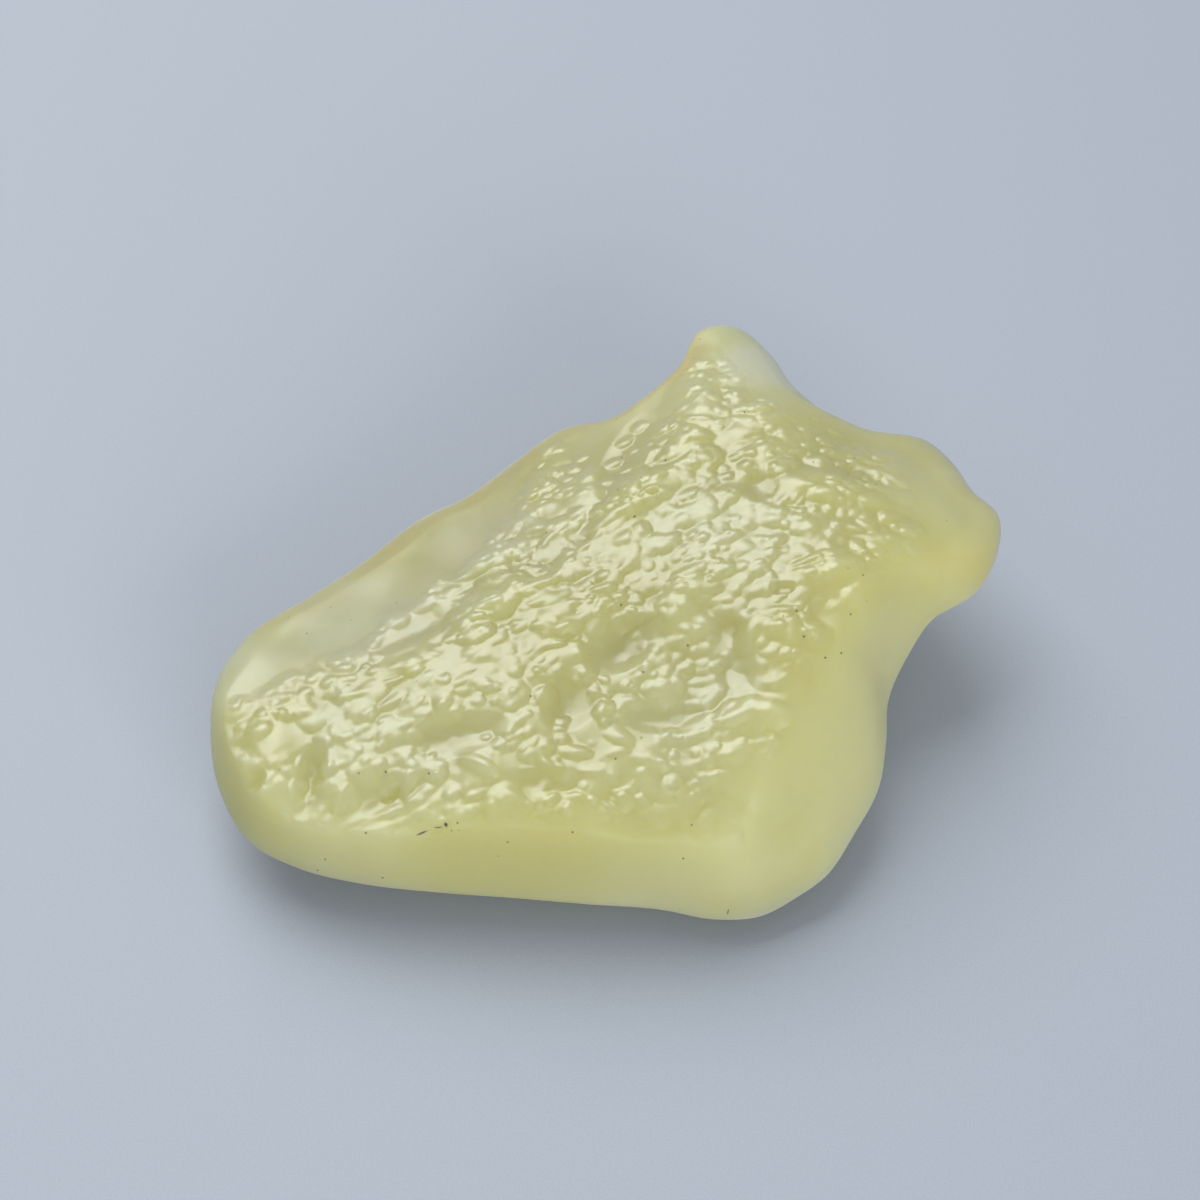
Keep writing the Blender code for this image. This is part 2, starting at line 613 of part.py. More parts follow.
def softly_lowest(first, second, softness):
    """The lower of two heights, with a round where they cross."""
    gap = first - second
    return (first + second - np.sqrt(gap**2 + softness**2)) / 2


def top_height(plan):
    """The pebbled crown, cut down by the smooth faces."""
    level = fitted_sheet(CROWN)(plan) + relief(plan)
    for name, spots in FACES.items():
        level = softly_lowest(level, fitted_sheet(spots)(plan), SOFTNESS[name])
    return level


def edge_rise(inset, reach, squareness):
    """From 0 at the rim to 1 where the rounded edge ends: a quarter of a superellipse."""
    share = np.clip(inset / reach, 0.0, 1.0)
    return (1.0 - (1.0 - share) ** squareness) ** (1.0 / squareness)


def skin(rim, rings, reach, squareness, height):
    """Rings of points from the rim to just short of the heart, on one side of the stone."""
    share = (np.linspace(0.0, 1.0, rings + 1)[:-1] ** CROWDING)[:, None]
    radius = np.hypot(rim[:, 0] - HEART[0], rim[:, 1] - HEART[1])
    plan = np.array(HEART) + (1.0 - share)[..., None] * (rim[:, :2] - HEART)
    rise = edge_rise(share * radius, reach, squareness)
    level = rim[:, 2] + (height(plan) - rim[:, 2]) * rise
    return np.dstack([plan, level])


def whole_stone():
    """Points and faces of the whole surface, in millimetres, resting on z = 0."""
    rim = closed_curve(list(RIM.values()), SECTIONS)
    belly_sheet = fitted_sheet(BELLY)
    above = skin(rim, TOP_RINGS, rim[:, 3], rim[:, 5], top_height)
    below = skin(rim, BELLY_RINGS, rim[:, 4], rim[:, 6], belly_sheet)
    below[..., 2] = np.maximum(below[..., 2], 0.0)
    rings = np.concatenate([above[::-1], below[1:]])
    heart = np.array([HEART])
    crown = [HEART[0], HEART[1], float(above[-1, :, 2].mean())]
    base = [HEART[0], HEART[1], max(float(belly_sheet(heart)[0]), 0.0)]
    points = np.vstack([rings.reshape(-1, 3), crown, base])
    count = len(rings) * SECTIONS
    here = np.arange(SECTIONS)
    beside = (here + 1) % SECTIONS
    faces = [(count, i, j) for i, j in zip(here, beside)]
    for ring in range(len(rings) - 1):
        upper = ring * SECTIONS
        lower = upper + SECTIONS
        faces += [(upper + i, lower + i, lower + j, upper + j) for i, j in zip(here, beside)]
    last = count - SECTIONS
    faces += [(count + 1, last + j, last + i) for i, j in zip(here, beside)]
    return points, faces


def thinned(points, faces):
    """The same surface with only as many facets as its shape needs."""
    dense = bpy.data.meshes.new("dense")
    dense.from_pydata((points * MM).tolist(), [], faces)
    obj = bpy.data.objects.new("dense", dense)
    bpy.context.scene.collection.objects.link(obj)
    thin = obj.modifiers.new("thin out", "DECIMATE")
    thin.ratio = FACETS / (2 * len(faces))
    thin.use_collapse_triangulate = True
    graph = bpy.context.evaluated_depsgraph_get()
    mesh = bpy.data.meshes.new_from_object(obj.evaluated_get(graph))
    bpy.data.objects.remove(obj)
    return mesh


def settle(mesh):
    """Stand the stone on its flat, centred over the origin."""
    flat = np.empty(3 * len(mesh.vertices))
    mesh.vertices.foreach_get("co", flat)
    spots = flat.reshape(-1, 3)
    spots[spots[:, 2] < FLAT_MARGIN * MM, 2] = 0.0
    spots[:, :2] -= (spots[:, :2].min(0) + spots[:, :2].max(0)) / 2
    mesh.vertices.foreach_set("co", spots.ravel())
    mesh.update()


def glass_material():
    """Milky greenish-yellow glass, frosted by the wind."""
    material = bpy.data.materials.new("desert_glass")
    material.use_nodes = True
    shader = material.node_tree.nodes["Principled BSDF"]
    shader.inputs["Base Color"].default_value = (*GLASS_COLOUR, 1.0)
    shader.inputs["Roughness"].default_value = GLASS_ROUGHNESS
    shader.inputs["IOR"].default_value = GLASS_IOR
    shader.inputs["Transmission Weight"].default_value = GLASS_CLEARNESS
    return material


def main():
    for obj in list(bpy.data.objects):
        bpy.data.objects.remove(obj)
    mesh = thinned(*whole_stone())
    settle(mesh)
    mesh.materials.append(glass_material())
    bpy.context.scene.collection.objects.link(bpy.data.objects.new("desert_glass", mesh))


main()
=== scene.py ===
"""Libyan desert glass: the fine surface and the looks of one wind-worn lump of natural glass."""

import math

import bpy
import numpy as np
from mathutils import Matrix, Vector


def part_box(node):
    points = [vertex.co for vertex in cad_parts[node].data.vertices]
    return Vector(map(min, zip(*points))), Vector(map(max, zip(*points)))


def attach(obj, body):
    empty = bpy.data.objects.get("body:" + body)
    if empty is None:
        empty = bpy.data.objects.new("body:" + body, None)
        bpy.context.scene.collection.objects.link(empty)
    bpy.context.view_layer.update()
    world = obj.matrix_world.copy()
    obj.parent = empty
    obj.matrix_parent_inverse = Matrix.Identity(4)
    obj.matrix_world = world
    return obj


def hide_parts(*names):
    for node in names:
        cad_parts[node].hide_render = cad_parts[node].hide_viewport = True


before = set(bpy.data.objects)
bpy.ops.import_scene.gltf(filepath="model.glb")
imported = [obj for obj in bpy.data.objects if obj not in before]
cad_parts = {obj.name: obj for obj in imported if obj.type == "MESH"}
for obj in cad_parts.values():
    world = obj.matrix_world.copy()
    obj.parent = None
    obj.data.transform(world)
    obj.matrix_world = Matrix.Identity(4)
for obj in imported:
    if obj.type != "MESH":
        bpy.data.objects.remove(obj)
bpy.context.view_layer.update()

bl_info = {
    "name": "Desert Glass",
    "version": (1, 0, 0),
    "blender": (4, 5, 0),
    "location": "View3D > Sidebar > Desert Glass",
    "description": "Builds a wind-worn lump of desert glass and a plain stage for it",
    "category": "Object",
}

MM = 0.001
NODE = "desert_glass"

# How finely the surface is sampled before it is thinned out, and how many of its points are measured
# against the rim at a time.
SECTIONS = 900
TOP_RINGS = 230
BELLY_RINGS = 60
BATCH = 4000

# The plan point that every section runs out from.
HEART = (2.0, -5.0)

# The widest edge of the stone, anticlockwise from the left end.
# x, y, z, reach of the shoulder above, reach of the heel below, squareness of shoulder and heel.
RIM = {
    "left_end": (-20.9, -10.2, 4.5, 1.0, 5.0, 2.0, 1.8),
    "left_foot": (-20.2, -13.4, 3.9, 1.0, 5.0, 2.0, 1.8),
    "front_left": (-18.3, -16.4, 3.2, 1.0, 5.0, 2.0, 1.8),
    "front_left_toe": (-15.8, -17.7, 2.9, 1.0, 5.0, 2.0, 1.8),
    "front_quarter": (-12.6, -18.5, 2.7, 1.0, 5.0, 2.0, 1.8),
    "front_mid": (-8.4, -19.0, 2.6, 1.0, 5.0, 2.0, 1.8),
    "front_heart": (-4.2, -19.3, 2.5, 1.0, 5.0, 2.0, 1.8),
    "front_wave": (-0.5, -19.6, 2.4, 1.0, 5.0, 2.0, 1.8),
    "front_right": (3.2, -19.8, 2.2, 1.0, 5.0, 2.0, 1.8),
    "toe": (6.3, -20.2, 1.8, 1.0, 4.0, 2.0, 1.8),
    "corner": (8.4, -20.0, 1.7, 1.0, 4.0, 2.0, 1.8),
    "corner_right": (10.5, -18.9, 1.9, 1.0, 4.0, 2.0, 1.8),
    "flank_low": (12.0, -17.9, 2.3, 1.2, 4.5, 2.0, 1.8),
    "flank": (13.7, -15.5, 3.0, 1.2, 5.0, 2.0, 1.8),
    "flank_mid": (15.0, -13.2, 3.6, 1.2, 5.0, 2.0, 1.8),
    "flank_high": (15.6, -10.3, 4.2, 1.2, 5.0, 2.0, 1.8),
    "waist": (15.8, -8.1, 4.8, 1.4, 5.0, 2.0, 1.8),
    "neck_low": (17.0, -5.6, 5.8, 1.8, 5.0, 1.8, 1.6),
    "neck": (18.4, -3.8, 6.7, 2.2, 5.0, 1.8, 1.5),
    "knob_low": (20.7, -2.7, 7.6, 2.4, 5.0, 1.8, 1.5),
    "knob_tip": (22.1, -0.2, 8.0, 1.8, 4.5, 2.0, 1.6),
    "knob_top": (22.3, 2.5, 8.2, 1.6, 4.0, 2.0, 1.8),
    "knob_notch": (21.2, 3.9, 8.3, 1.6, 4.0, 1.8, 1.8),
    "shoulder": (20.2, 6.3, 8.2, 2.0, 4.0, 1.6, 1.8),
    "shoulder_back": (18.7, 8.4, 8.0, 2.2, 4.0, 1.6, 1.8),
    "col_right": (15.8, 9.2, 7.8, 2.4, 4.0, 1.5, 1.8),
    "col": (13.4, 10.4, 8.0, 2.2, 4.0, 1.5, 1.8),
    "peak_right": (11.3, 12.6, 8.2, 1.8, 3.0, 1.6, 1.8),
    "peak_shoulder": (10.1, 14.9, 8.4, 1.4, 2.4, 1.8, 1.8),
    "peak_tip": (7.8, 17.0, 8.6, 1.2, 2.0, 2.0, 2.0),
    "peak_left": (6.3, 16.7, 8.5, 1.2, 2.0, 2.0, 2.0),
    "peak_flank": (4.8, 13.8, 8.1, 1.6, 2.6, 1.7, 1.8),
    "peak_foot": (2.9, 12.0, 7.6, 1.8, 3.0, 1.6, 1.8),
    "saddle": (0.9, 10.8, 7.1, 1.8, 4.0, 1.5, 1.8),
    "notch": (-2.0, 10.4, 6.8, 1.6, 4.0, 1.5, 1.8),
    "back_high": (-4.6, 8.4, 6.4, 1.6, 5.0, 1.5, 1.8),
    "back_mid": (-7.4, 5.9, 6.0, 1.6, 5.0, 1.5, 1.8),
    "back": (-10.2, 4.4, 5.6, 1.6, 5.0, 1.5, 1.8),
    "back_low": (-13.0, 1.7, 5.3, 1.8, 5.0, 1.6, 1.8),
    "back_left": (-16.2, -0.9, 5.0, 2.0, 5.0, 1.8, 1.8),
    "left_top": (-19.1, -3.3, 4.8, 2.2, 5.0, 1.9, 1.8),
    "left_back": (-20.7, -6.3, 4.7, 2.4, 5.0, 2.0, 1.8),
}

# Heights of the pebbled crown at chosen places: x, y, z.
CROWN = (
    (-18.6, -8.4, 7.0),
    (-17.8, -12.6, 7.0),
    (-15.6, -16.0, 6.4),
    (-12.4, -17.4, 6.3),
    (-9.6, -17.2, 6.9),
    (-10.9, -9.0, 8.6),
    (-10.6, -13.4, 7.9),
    (-5.4, -4.6, 9.5),
    (-4.3, -10.4, 9.4),
    (-2.2, -13.6, 8.8),
    (-5.4, -16.8, 7.9),
    (-1.0, -17.6, 7.7),
    (0.0, -8.6, 9.7),
    (2.1, -15.4, 8.4),
    (3.4, -17.8, 7.3),
    (5.4, -11.4, 9.3),
    (5.7, -15.6, 8.3),
    (6.6, -18.2, 7.0),
    (9.6, -11.4, 10.1),
    (11.6, -7.2, 11.4),
    (14.9, -4.0, 11.7),
    (8.4, -15.6, 8.8),
    (0.0, 2.6, 10.2),
    (5.3, -3.2, 11.2),
    (7.4, 1.6, 11.5),
    (6.5, 6.4, 11.2),
    (6.6, 11.0, 10.4),
    (10.0, 7.6, 11.3),
    (7.2, 15.0, 9.8),
    (13.2, 1.0, 11.7),
    (15.9, 2.6, 11.1),
    (17.6, -0.4, 10.9),
    (20.4, -0.2, 9.9),
    (-2.1, 7.6, 7.8),
    (-6.6, 1.2, 7.9),
    (-11.0, -1.2, 7.0),
    (-15.0, -4.0, 6.4),
    (15.0, 6.4, 9.7),
    (16.0, -7.0, 11.7),
    (13.0, -13.0, 9.8),
    (11.0, -18.0, 6.6),
)

# Smooth faces that the wind has planed across the crown. Each is a sheet through its own spots, and
# the top of the stone is whatever lies lowest.
FACES = {
    "front": (
        (-20.9, -10.2, 5.4),
        (-20.2, -13.4, 4.8),
        (-18.3, -16.4, 4.1),
        (-15.8, -17.8, 3.7),
        (-12.6, -18.6, 3.5),
        (-8.4, -19.1, 3.4),
        (-4.2, -19.4, 3.3),
        (0.0, -19.7, 3.1),
        (4.0, -20.0, 2.8),
        (7.5, -20.2, 2.4),
        (-19.3, -10.6, 8.6),
        (-18.6, -13.0, 8.2),
        (-17.2, -15.6, 7.8),
        (-15.0, -16.9, 7.8),
        (-11.8, -17.6, 8.0),
        (-8.0, -17.5, 9.2),
        (-4.0, -17.6, 9.6),
        (0.0, -17.9, 9.6),
        (4.0, -18.3, 8.4),
        (7.4, -18.5, 7.4),
        (-12.0, -10.0, 18.0),
        (0.0, -12.0, 20.0),
        (10.0, -12.0, 18.0),
        (18.0, -14.0, 12.0),
        (0.0, 8.0, 30.0),
    ),
    "right": (
        (8.4, -20.0, 2.4),
        (10.5, -18.9, 2.7),
        (12.1, -17.9, 3.2),
        (13.7, -15.5, 4.0),
        (15.0, -13.2, 4.7),
        (15.6, -10.3, 5.5),
        (15.8, -8.1, 6.2),
        (17.0, -5.6, 7.4),
        (10.6, -16.6, 6.0),
        (12.0, -14.0, 7.7),
        (13.6, -9.8, 9.4),
        (7.8, -18.4, 6.3),
        (8.7, -15.4, 9.3),
        (9.9, -12.2, 11.2),
        (11.9, -8.8, 12.0),
        (13.9, -6.3, 12.1),
        (16.2, -3.8, 11.6),
        (5.8, -15.5, 11.6),
        (7.4, -11.8, 13.6),
        (10.0, -7.0, 14.4),
        (14.0, -2.0, 14.2),
        (20.0, 0.0, 13.0),
        (6.0, 8.0, 22.0),
        (-8.0, -8.0, 26.0),
    ),
    "peak": (
        (10.1, 14.9, 8.8),
        (11.3, 12.6, 8.7),
        (12.6, 11.2, 8.7),
        (8.3, 16.0, 9.5),
        (8.5, 13.4, 10.4),
        (9.4, 11.0, 10.8),
        (6.0, 13.6, 11.8),
        (6.6, 9.6, 12.6),
        (12.0, 7.6, 12.5),
        (18.0, 8.0, 12.0),
        (0.0, 0.0, 20.0),
    ),
}

# Heights of the belly. Where they fall below zero the stone is worn away to its resting flat.
BELLY = (
    (1.0, -7.5, -0.5),
    (6.5, -8.5, -0.3),
    (-4.5, -8.0, -0.3),
    (1.5, -13.0, -0.1),
    (1.0, -2.5, 0.2),
    (-12.0, -11.0, 1.2),
    (-17.0, -10.0, 2.4),
    (-9.0, 0.5, 2.4),
    (0.5, 7.0, 3.8),
    (7.0, 5.0, 3.4),
    (7.5, 13.5, 6.6),
    (15.0, 4.0, 5.0),
    (19.5, 0.0, 6.4),
    (12.0, -3.0, 2.0),
    (12.0, -13.0, 1.2),
    (7.0, -17.0, 0.6),
    (-6.0, -16.5, 0.9),
    (-14.0, -15.5, 1.6),
)

# The lumps that stand out on the top: x, y, half length, half width, turn in degrees, height.
PEAK_LUMPS = (
    (6.2, 12.7, 0.6, 0.5, 30, 0.2),
    (7.6, 9.2, 0.7, 0.6, 0, 0.25),
    (8.8, 7.8, 0.95, 0.8, 0, 0.4),
    (5.9, 9.1, 1.7, 0.8, 85, 0.25),
    (5.2, 5.7, 1.5, 0.7, -8, 0.35),
    (8.3, 5.8, 1.1, 0.55, 0, 0.2),
    (4.7, 8.5, 0.7, 0.55, 20, 0.2),
    (3.8, 6.9, 0.9, 0.5, 10, 0.2),
    (3.9, 4.9, 1.1, 0.8, 40, 0.25),
    (5.3, 3.8, 1.3, 0.8, 5, 0.3),
    (8.5, 4.2, 1.2, 0.7, -10, 0.25),
    (10.3, 3.6, 1.1, 0.8, -35, 0.25),
    (12.3, 3.7, 1.0, 0.7, -20, 0.25),
    (13.4, 7.1, 0.6, 0.4, -30, 0.2),
    (3.3, 2.7, 0.9, 0.6, 10, 0.2),
    (5.1, 1.4, 1.3, 0.8, 0, 0.3),
    (7.0, 1.0, 0.9, 0.8, 0, 0.3),
    (2.3, 7.9, 0.6, 0.5, 30, 0.2),
    (1.5, 7.0, 0.7, 0.5, 40, 0.22),
    (2.0, 6.0, 0.6, 0.5, 10, 0.2),
    (1.0, 5.2, 0.7, 0.5, 30, 0.22),
    (1.5, 4.3, 0.5, 0.45, 0, 0.18),
    (0.5, 3.4, 0.7, 0.5, 30, 0.22),
)
KNOB_SIDE_LUMPS = (
    (10.8, 1.5, 1.3, 0.8, -35, 0.3),
    (12.2, 0.7, 1.0, 0.8, -20, 0.3),
    (13.5, 1.0, 0.8, 0.4, -45, 0.2),
    (15.0, 0.7, 1.2, 0.8, -10, 0.3),
    (14.8, 4.6, 0.9, 0.4, -20, 0.2),
    (16.6, 5.0, 0.6, 0.4, -30, 0.2),
    (16.1, 2.4, 0.5, 0.4, 0, 0.2),
    (9.6, -0.8, 0.8, 0.8, 0, 0.3),
    (10.9, -1.8, 0.9, 0.4, 0, 0.2),
    (13.8, -1.5, 0.9, 0.5, -30, 0.25),
    (9.1, -3.2, 1.0, 0.5, 0, 0.25),
    (11.7, -3.6, 1.7, 0.45, 22, 0.25),
    (12.6, -4.5, 1.1, 0.9, 10, 0.3),
    (14.5, -4.9, 1.1, 0.6, 10, 0.3),
    (14.7, -6.9, 1.7, 0.6, 62, 0.25),
    (16.6, -4.0, 1.2, 0.4, 82, 0.25),
    (17.2, -1.2, 0.7, 0.35, 80, 0.2),
)
CENTRE_LUMPS = (
    (0.3, 0.0, 1.7, 0.7, 28, 0.35),
    (-0.8, -1.5, 0.8, 0.5, 30, 0.25),
    (1.3, -1.6, 0.9, 0.7, 30, 0.3),
    (3.4, -1.9, 1.3, 1.1, 0, 0.4),
    (6.8, -2.0, 1.4, 0.7, 15, 0.35),
    (4.9, -4.0, 1.3, 0.6, 28, 0.35),
    (6.6, -4.0, 1.0, 0.8, 0, 0.4),
    (6.3, -5.9, 1.2, 0.6, 0, 0.25),
    (5.0, -7.5, 1.8, 1.0, 32, 0.45),
    (8.1, -7.8, 1.7, 0.9, 62, 0.45),
    (8.5, -5.4, 0.6, 0.5, 60, 0.2),
    (9.7, -8.0, 1.3, 0.9, 10, 0.35),
    (9.9, -6.8, 0.9, 0.4, 0, 0.2),
    (9.8, -9.6, 1.0, 0.5, 5, 0.25),
    (9.2, -10.9, 0.8, 0.6, 0, 0.3),
    (7.0, -12.7, 1.5, 0.7, 8, 0.35),
    (9.2, -12.7, 1.1, 0.8, 0, 0.35),
    (4.2, -10.3, 1.0, 0.8, -30, 0.3),
    (3.2, -9.0, 0.9, 0.7, 40, 0.25),
    (5.6, -9.6, 0.8, 0.7, 0, 0.25),
    (1.5, -11.4, 1.1, 0.7, -10, 0.3),
    (2.4, -9.9, 0.5, 0.4, 0, 0.2),
    (0.2, -4.7, 1.0, 0.5, 5, 0.25),
    (0.2, -5.8, 0.7, 0.4, 0, 0.2),
    (1.9, -5.5, 0.6, 0.4, 0, 0.2),
)
LEFT_LUMPS = (
    (-2.7, 8.2, 1.0, 0.6, 50, 0.2),
    (-1.1, 6.4, 0.6, 0.5, 0, 0.2),
    (-2.9, 2.3, 1.0, 0.6, 0, 0.25),
    (-3.0, 4.4, 0.5, 0.6, 0, 0.2),
    (-3.6, 0.6, 1.1, 0.6, 0, 0.25),
    (-4.9, -1.0, 0.7, 0.6, 0, 0.25),
    (-6.8, -2.2, 1.4, 0.6, 15, 0.3),
    (-7.8, -3.3, 0.6, 0.4, 0, 0.2),
    (-2.8, -3.9, 1.5, 0.5, 25, 0.35),
    (-5.6, -5.0, 1.6, 0.9, 0, 0.35),
    (-3.3, -5.4, 0.6, 0.4, 0, 0.2),
    (-1.2, -5.6, 0.7, 0.4, 0, 0.2),
    (-1.6, -6.9, 1.2, 0.6, 15, 0.35),
    (-3.2, -7.0, 0.5, 0.4, 0, 0.2),
    (-2.3, -8.1, 0.9, 0.5, 0, 0.25),
    (-1.1, -8.8, 0.4, 0.6, 0, 0.2),
    (-3.1, -9.7, 0.8, 0.4, -45, 0.25),
    (0.3, -12.2, 0.5, 0.9, 20, 0.2),
    (-5.7, -10.6, 0.9, 0.5, -5, 0.3),
    (-4.6, -11.8, 0.6, 0.4, -40, 0.2),
    (-4.4, -12.7, 0.8, 0.5, 0, 0.25),
    (-8.3, -11.3, 0.8, 0.5, 35, 0.25),
    (-9.6, -11.1, 0.8, 0.4, 50, 0.25),
    (-10.9, -10.8, 1.0, 0.5, 30, 0.25),
    (-11.1, -9.6, 1.1, 0.3, 3, 0.2),
    (-12.6, -10.1, 1.0, 0.4, 20, 0.2),
    (-12.2, -11.4, 0.7, 0.4, 0, 0.2),
    (-13.7, -10.3, 0.7, 0.5, 0, 0.2),
    (-16.7, -8.6, 1.0, 0.3, 8, 0.2),
    (-16.4, -9.9, 0.9, 0.4, 0, 0.2),
    (-17.6, -10.2, 0.6, 0.4, -40, 0.2),
)
LOBE_LUMPS = (
    (-18.1, -11.9, 1.0, 0.8, 0, 0.4),
    (-16.9, -15.3, 1.4, 1.2, 30, 0.35),
    (-16.2, -17.0, 0.4, 0.8, 10, 0.2),
    (-14.1, -12.1, 0.8, 0.4, 0, 0.2),
    (-13.2, -12.8, 0.8, 0.35, 20, 0.2),
    (-14.1, -13.9, 1.2, 0.5, 80, 0.3),
    (-13.3, -15.8, 1.2, 0.7, 70, 0.4),
    (-12.1, -14.5, 1.3, 1.1, 0, 0.4),
    (-9.7, -15.3, 1.2, 0.5, 65, 0.35),
    (-8.4, -15.1, 0.8, 0.6, 80, 0.3),
    (-11.2, -16.8, 1.1, 0.5, 20, 0.3),
    (-12.5, -17.2, 0.8, 0.4, 25, 0.25),
    (-11.7, -17.8, 1.5, 0.6, 15, 0.3),
    (-9.4, -17.1, 1.6, 0.4, 25, 0.2),
    (-6.2, -15.0, 1.35, 0.5, -28, 0.55),
    (-7.6, -16.2, 0.7, 0.6, 0, 0.3),
    (-6.3, -16.5, 0.9, 0.4, 20, 0.25),
    (-4.5, -16.8, 1.0, 0.6, -30, 0.25),
)
FRONT_LUMPS = (
    (-2.9, -14.8, 1.1, 0.4, -35, 0.25),
    (-1.3, -14.3, 1.1, 0.5, -15, 0.3),
    (-0.2, -15.4, 1.3, 0.5, 0, 0.3),
    (1.0, -14.5, 0.9, 0.4, 10, 0.25),
    (2.7, -14.8, 1.5, 0.6, -10, 0.35),
    (5.0, -13.6, 1.2, 0.6, 20, 0.3),
    (7.0, -14.5, 1.2, 0.9, 15, 0.4),
    (8.8, -14.0, 0.8, 0.6, 0, 0.25),
    (4.8, -15.0, 0.8, 0.4, 10, 0.2),
    (5.6, -15.8, 1.3, 0.5, 5, 0.3),
    (2.1, -16.9, 0.9, 0.4, -20, 0.25),
    (-1.2, -16.9, 0.6, 0.4, 0, 0.2),
    (0.6, -17.2, 0.8, 0.3, -30, 0.2),
    (4.2, -17.1, 1.4, 0.9, 10, 0.4),
    (4.6, -18.4, 1.0, 0.4, 30, 0.2),
    (6.4, -18.3, 0.9, 0.4, 45, 0.2),
)

# Broad folds of the top, ridges above zero and troughs below: x, y, half length, half width, turn, height.
# The higher their power, the softer their feet.
FOLD_POWER = 1.5
FOLDS = (
    (5.2, 8.0, 6.0, 1.9, 84, 0.35),
    (2.4, 1.6, 4.2, 1.6, 40, 0.4),
    (1.4, 4.8, 4.6, 1.4, 74, -0.3),
    (-2.0, -1.6, 3.6, 1.1, 42, -0.4),
    (-3.0, 4.4, 4.6, 1.4, 80, 0.3),
    (-5.8, -1.4, 3.0, 1.4, 30, 0.3),
    (-5.2, -5.0, 3.2, 1.6, 12, 0.35),
    (-2.2, -6.4, 2.8, 1.6, 24, 0.3),
    (-9.4, -5.8, 3.4, 1.2, 30, -0.35),
    (1.4, -8.2, 2.6, 1.6, 34, -0.55),
    (-1.4, -11.4, 2.0, 1.6, 60, -0.45),
    (7.1, -9.4, 1.2, 3.2, 6, -0.3),
    (3.4, -12.4, 2.4, 1.0, 0, -0.3),
    (-7.4, -13.2, 3.2, 1.3, 8, -0.4),
    (-2.6, -16.0, 3.0, 0.8, 0, -0.25),
    (9.4, -8.8, 2.0, 3.4, 4, 0.35),
    (7.6, -12.8, 3.6, 1.3, 6, 0.35),
    (4.6, -5.8, 3.2, 1.6, 40, 0.35),
    (12.0, -8.2, 1.0, 2.6, 8, -0.25),
    (12.0, 1.4, 3.6, 1.8, -24, 0.4),
    (12.6, -4.4, 2.4, 1.4, 14, 0.35),
    (14.8, 2.8, 2.6, 0.9, -20, -0.35),
    (8.8, 1.8, 1.2, 1.6, 0, -0.25),
    (-12.6, -14.6, 2.4, 1.8, 20, 0.3),
    (-17.4, -13.6, 1.6, 3.4, 0, 0.25),
    (-15.0, -14.8, 0.9, 2.4, -10, -0.35),
    (-10.6, -16.2, 2.2, 0.7, 28, -0.25),
)

# Narrow pits: x, y, half length, half width, turn in degrees, depth.
PITS = (
    (9.8, -5.5, 0.8, 0.5, 0, 0.2),
    (3.0, 1.3, 0.4, 0.3, 0, 0.3),
    (-18.0, -14.7, 0.7, 0.8, 0, 0.3),
    (-10.8, -15.9, 0.6, 0.4, 30, 0.3),
    (-8.6, -18.1, 1.2, 0.3, 14, 0.35),
)

# The patch of the top that carries small pebbling, as a closed outline in plan.
PEBBLED = (
    (-19.6, -9.6),
    (-14.0, -7.2),
    (-9.5, -3.0),
    (-5.4, 1.0),
    (-4.2, 5.0),
    (-3.0, 8.4),
    (-0.6, 7.4),
    (0.2, 2.0),
    (3.6, 8.0),
    (5.2, 13.6),
    (7.2, 13.6),
    (8.6, 9.4),
    (13.4, 7.6),
    (17.2, 5.4),
    (17.4, -2.0),
    (15.6, -7.4),
    (12.0, -6.8),
    (10.6, -12.0),
    (8.6, -16.0),
    (7.2, -18.6),
    (3.0, -18.6),
    (-5.0, -17.2),
    (-11.6, -18.6),
    (-16.4, -17.8),
    (-19.2, -13.6),
)
# Calm spots inside that patch: x, y, radius.
CALM = (
    (7.0, -10.3, 1.3),
    (0.4, -8.4, 1.5),
    (-0.8, -12.2, 1.6),
    (-7.4, -13.4, 1.9),
    (-4.6, -15.6, 1.3),
    (-9.2, -5.6, 1.5),
    (-10.6, -7.0, 1.3),
    (3.4, -12.2, 1.2),
    (8.6, 1.4, 0.8),
    (1.0, 4.6, 1.4),
    (14.0, -7.6, 1.6),
)

# Small lumps over that patch: the distance from one to the next, which draw they come from, and the range
# of their half lengths and half widths as shares of that distance and of the half length. Then the usual
# turn and its spread, in degrees, and the range of their heights.
COBBLE_PITCH = 1.3
COBBLE_SEED = 5
COBBLE_REACH = (0.6, 1.25)
COBBLE_SLIMNESS = (0.65, 0.95)
COBBLE_TURN = (18.0, 45.0)
COBBLE_HEIGHT = (0.08, 0.24)

# The wind cut the near side of every lump steeper. This is how much, and the way it faces in plan.
LEAN = 0.7
LEE = (0.35, -0.94)

# Lumps and cobbles run together with this hardness: the higher, the crisper the crease between them.
CREASE = 5
MERGE = 3

# How much height the foot of every lump gives up to a soft hollow.
FOOT = 0.015

# The share of its listed height that a worn lump still stands proud.
WORN = 0.8

# How far random bending pushes the lumps' outlines about, and a slight unevenness of the whole top.
BEND = 0.12
BEND_LENGTH = 3.0
BEND_SEEDS = (1, 2)
UNEVEN = 0.1
UNEVEN_LENGTH = 4.0
UNEVEN_SEED = 3

# How many plain waves a random swell is made of, how much their lengths vary, and the sum that counts as 1.
WAVES = 7
WAVE_STRETCH = (0.75, 1.4)
WAVE_PEAK = 4.0

# Over about how much height each smooth face blends into the crown.
SOFTNESS = {"front": 0.3, "right": 1.2, "peak": 0.7}

# Rings crowd towards the rim by this power, where the surface turns fastest.
CROWDING = 1.4

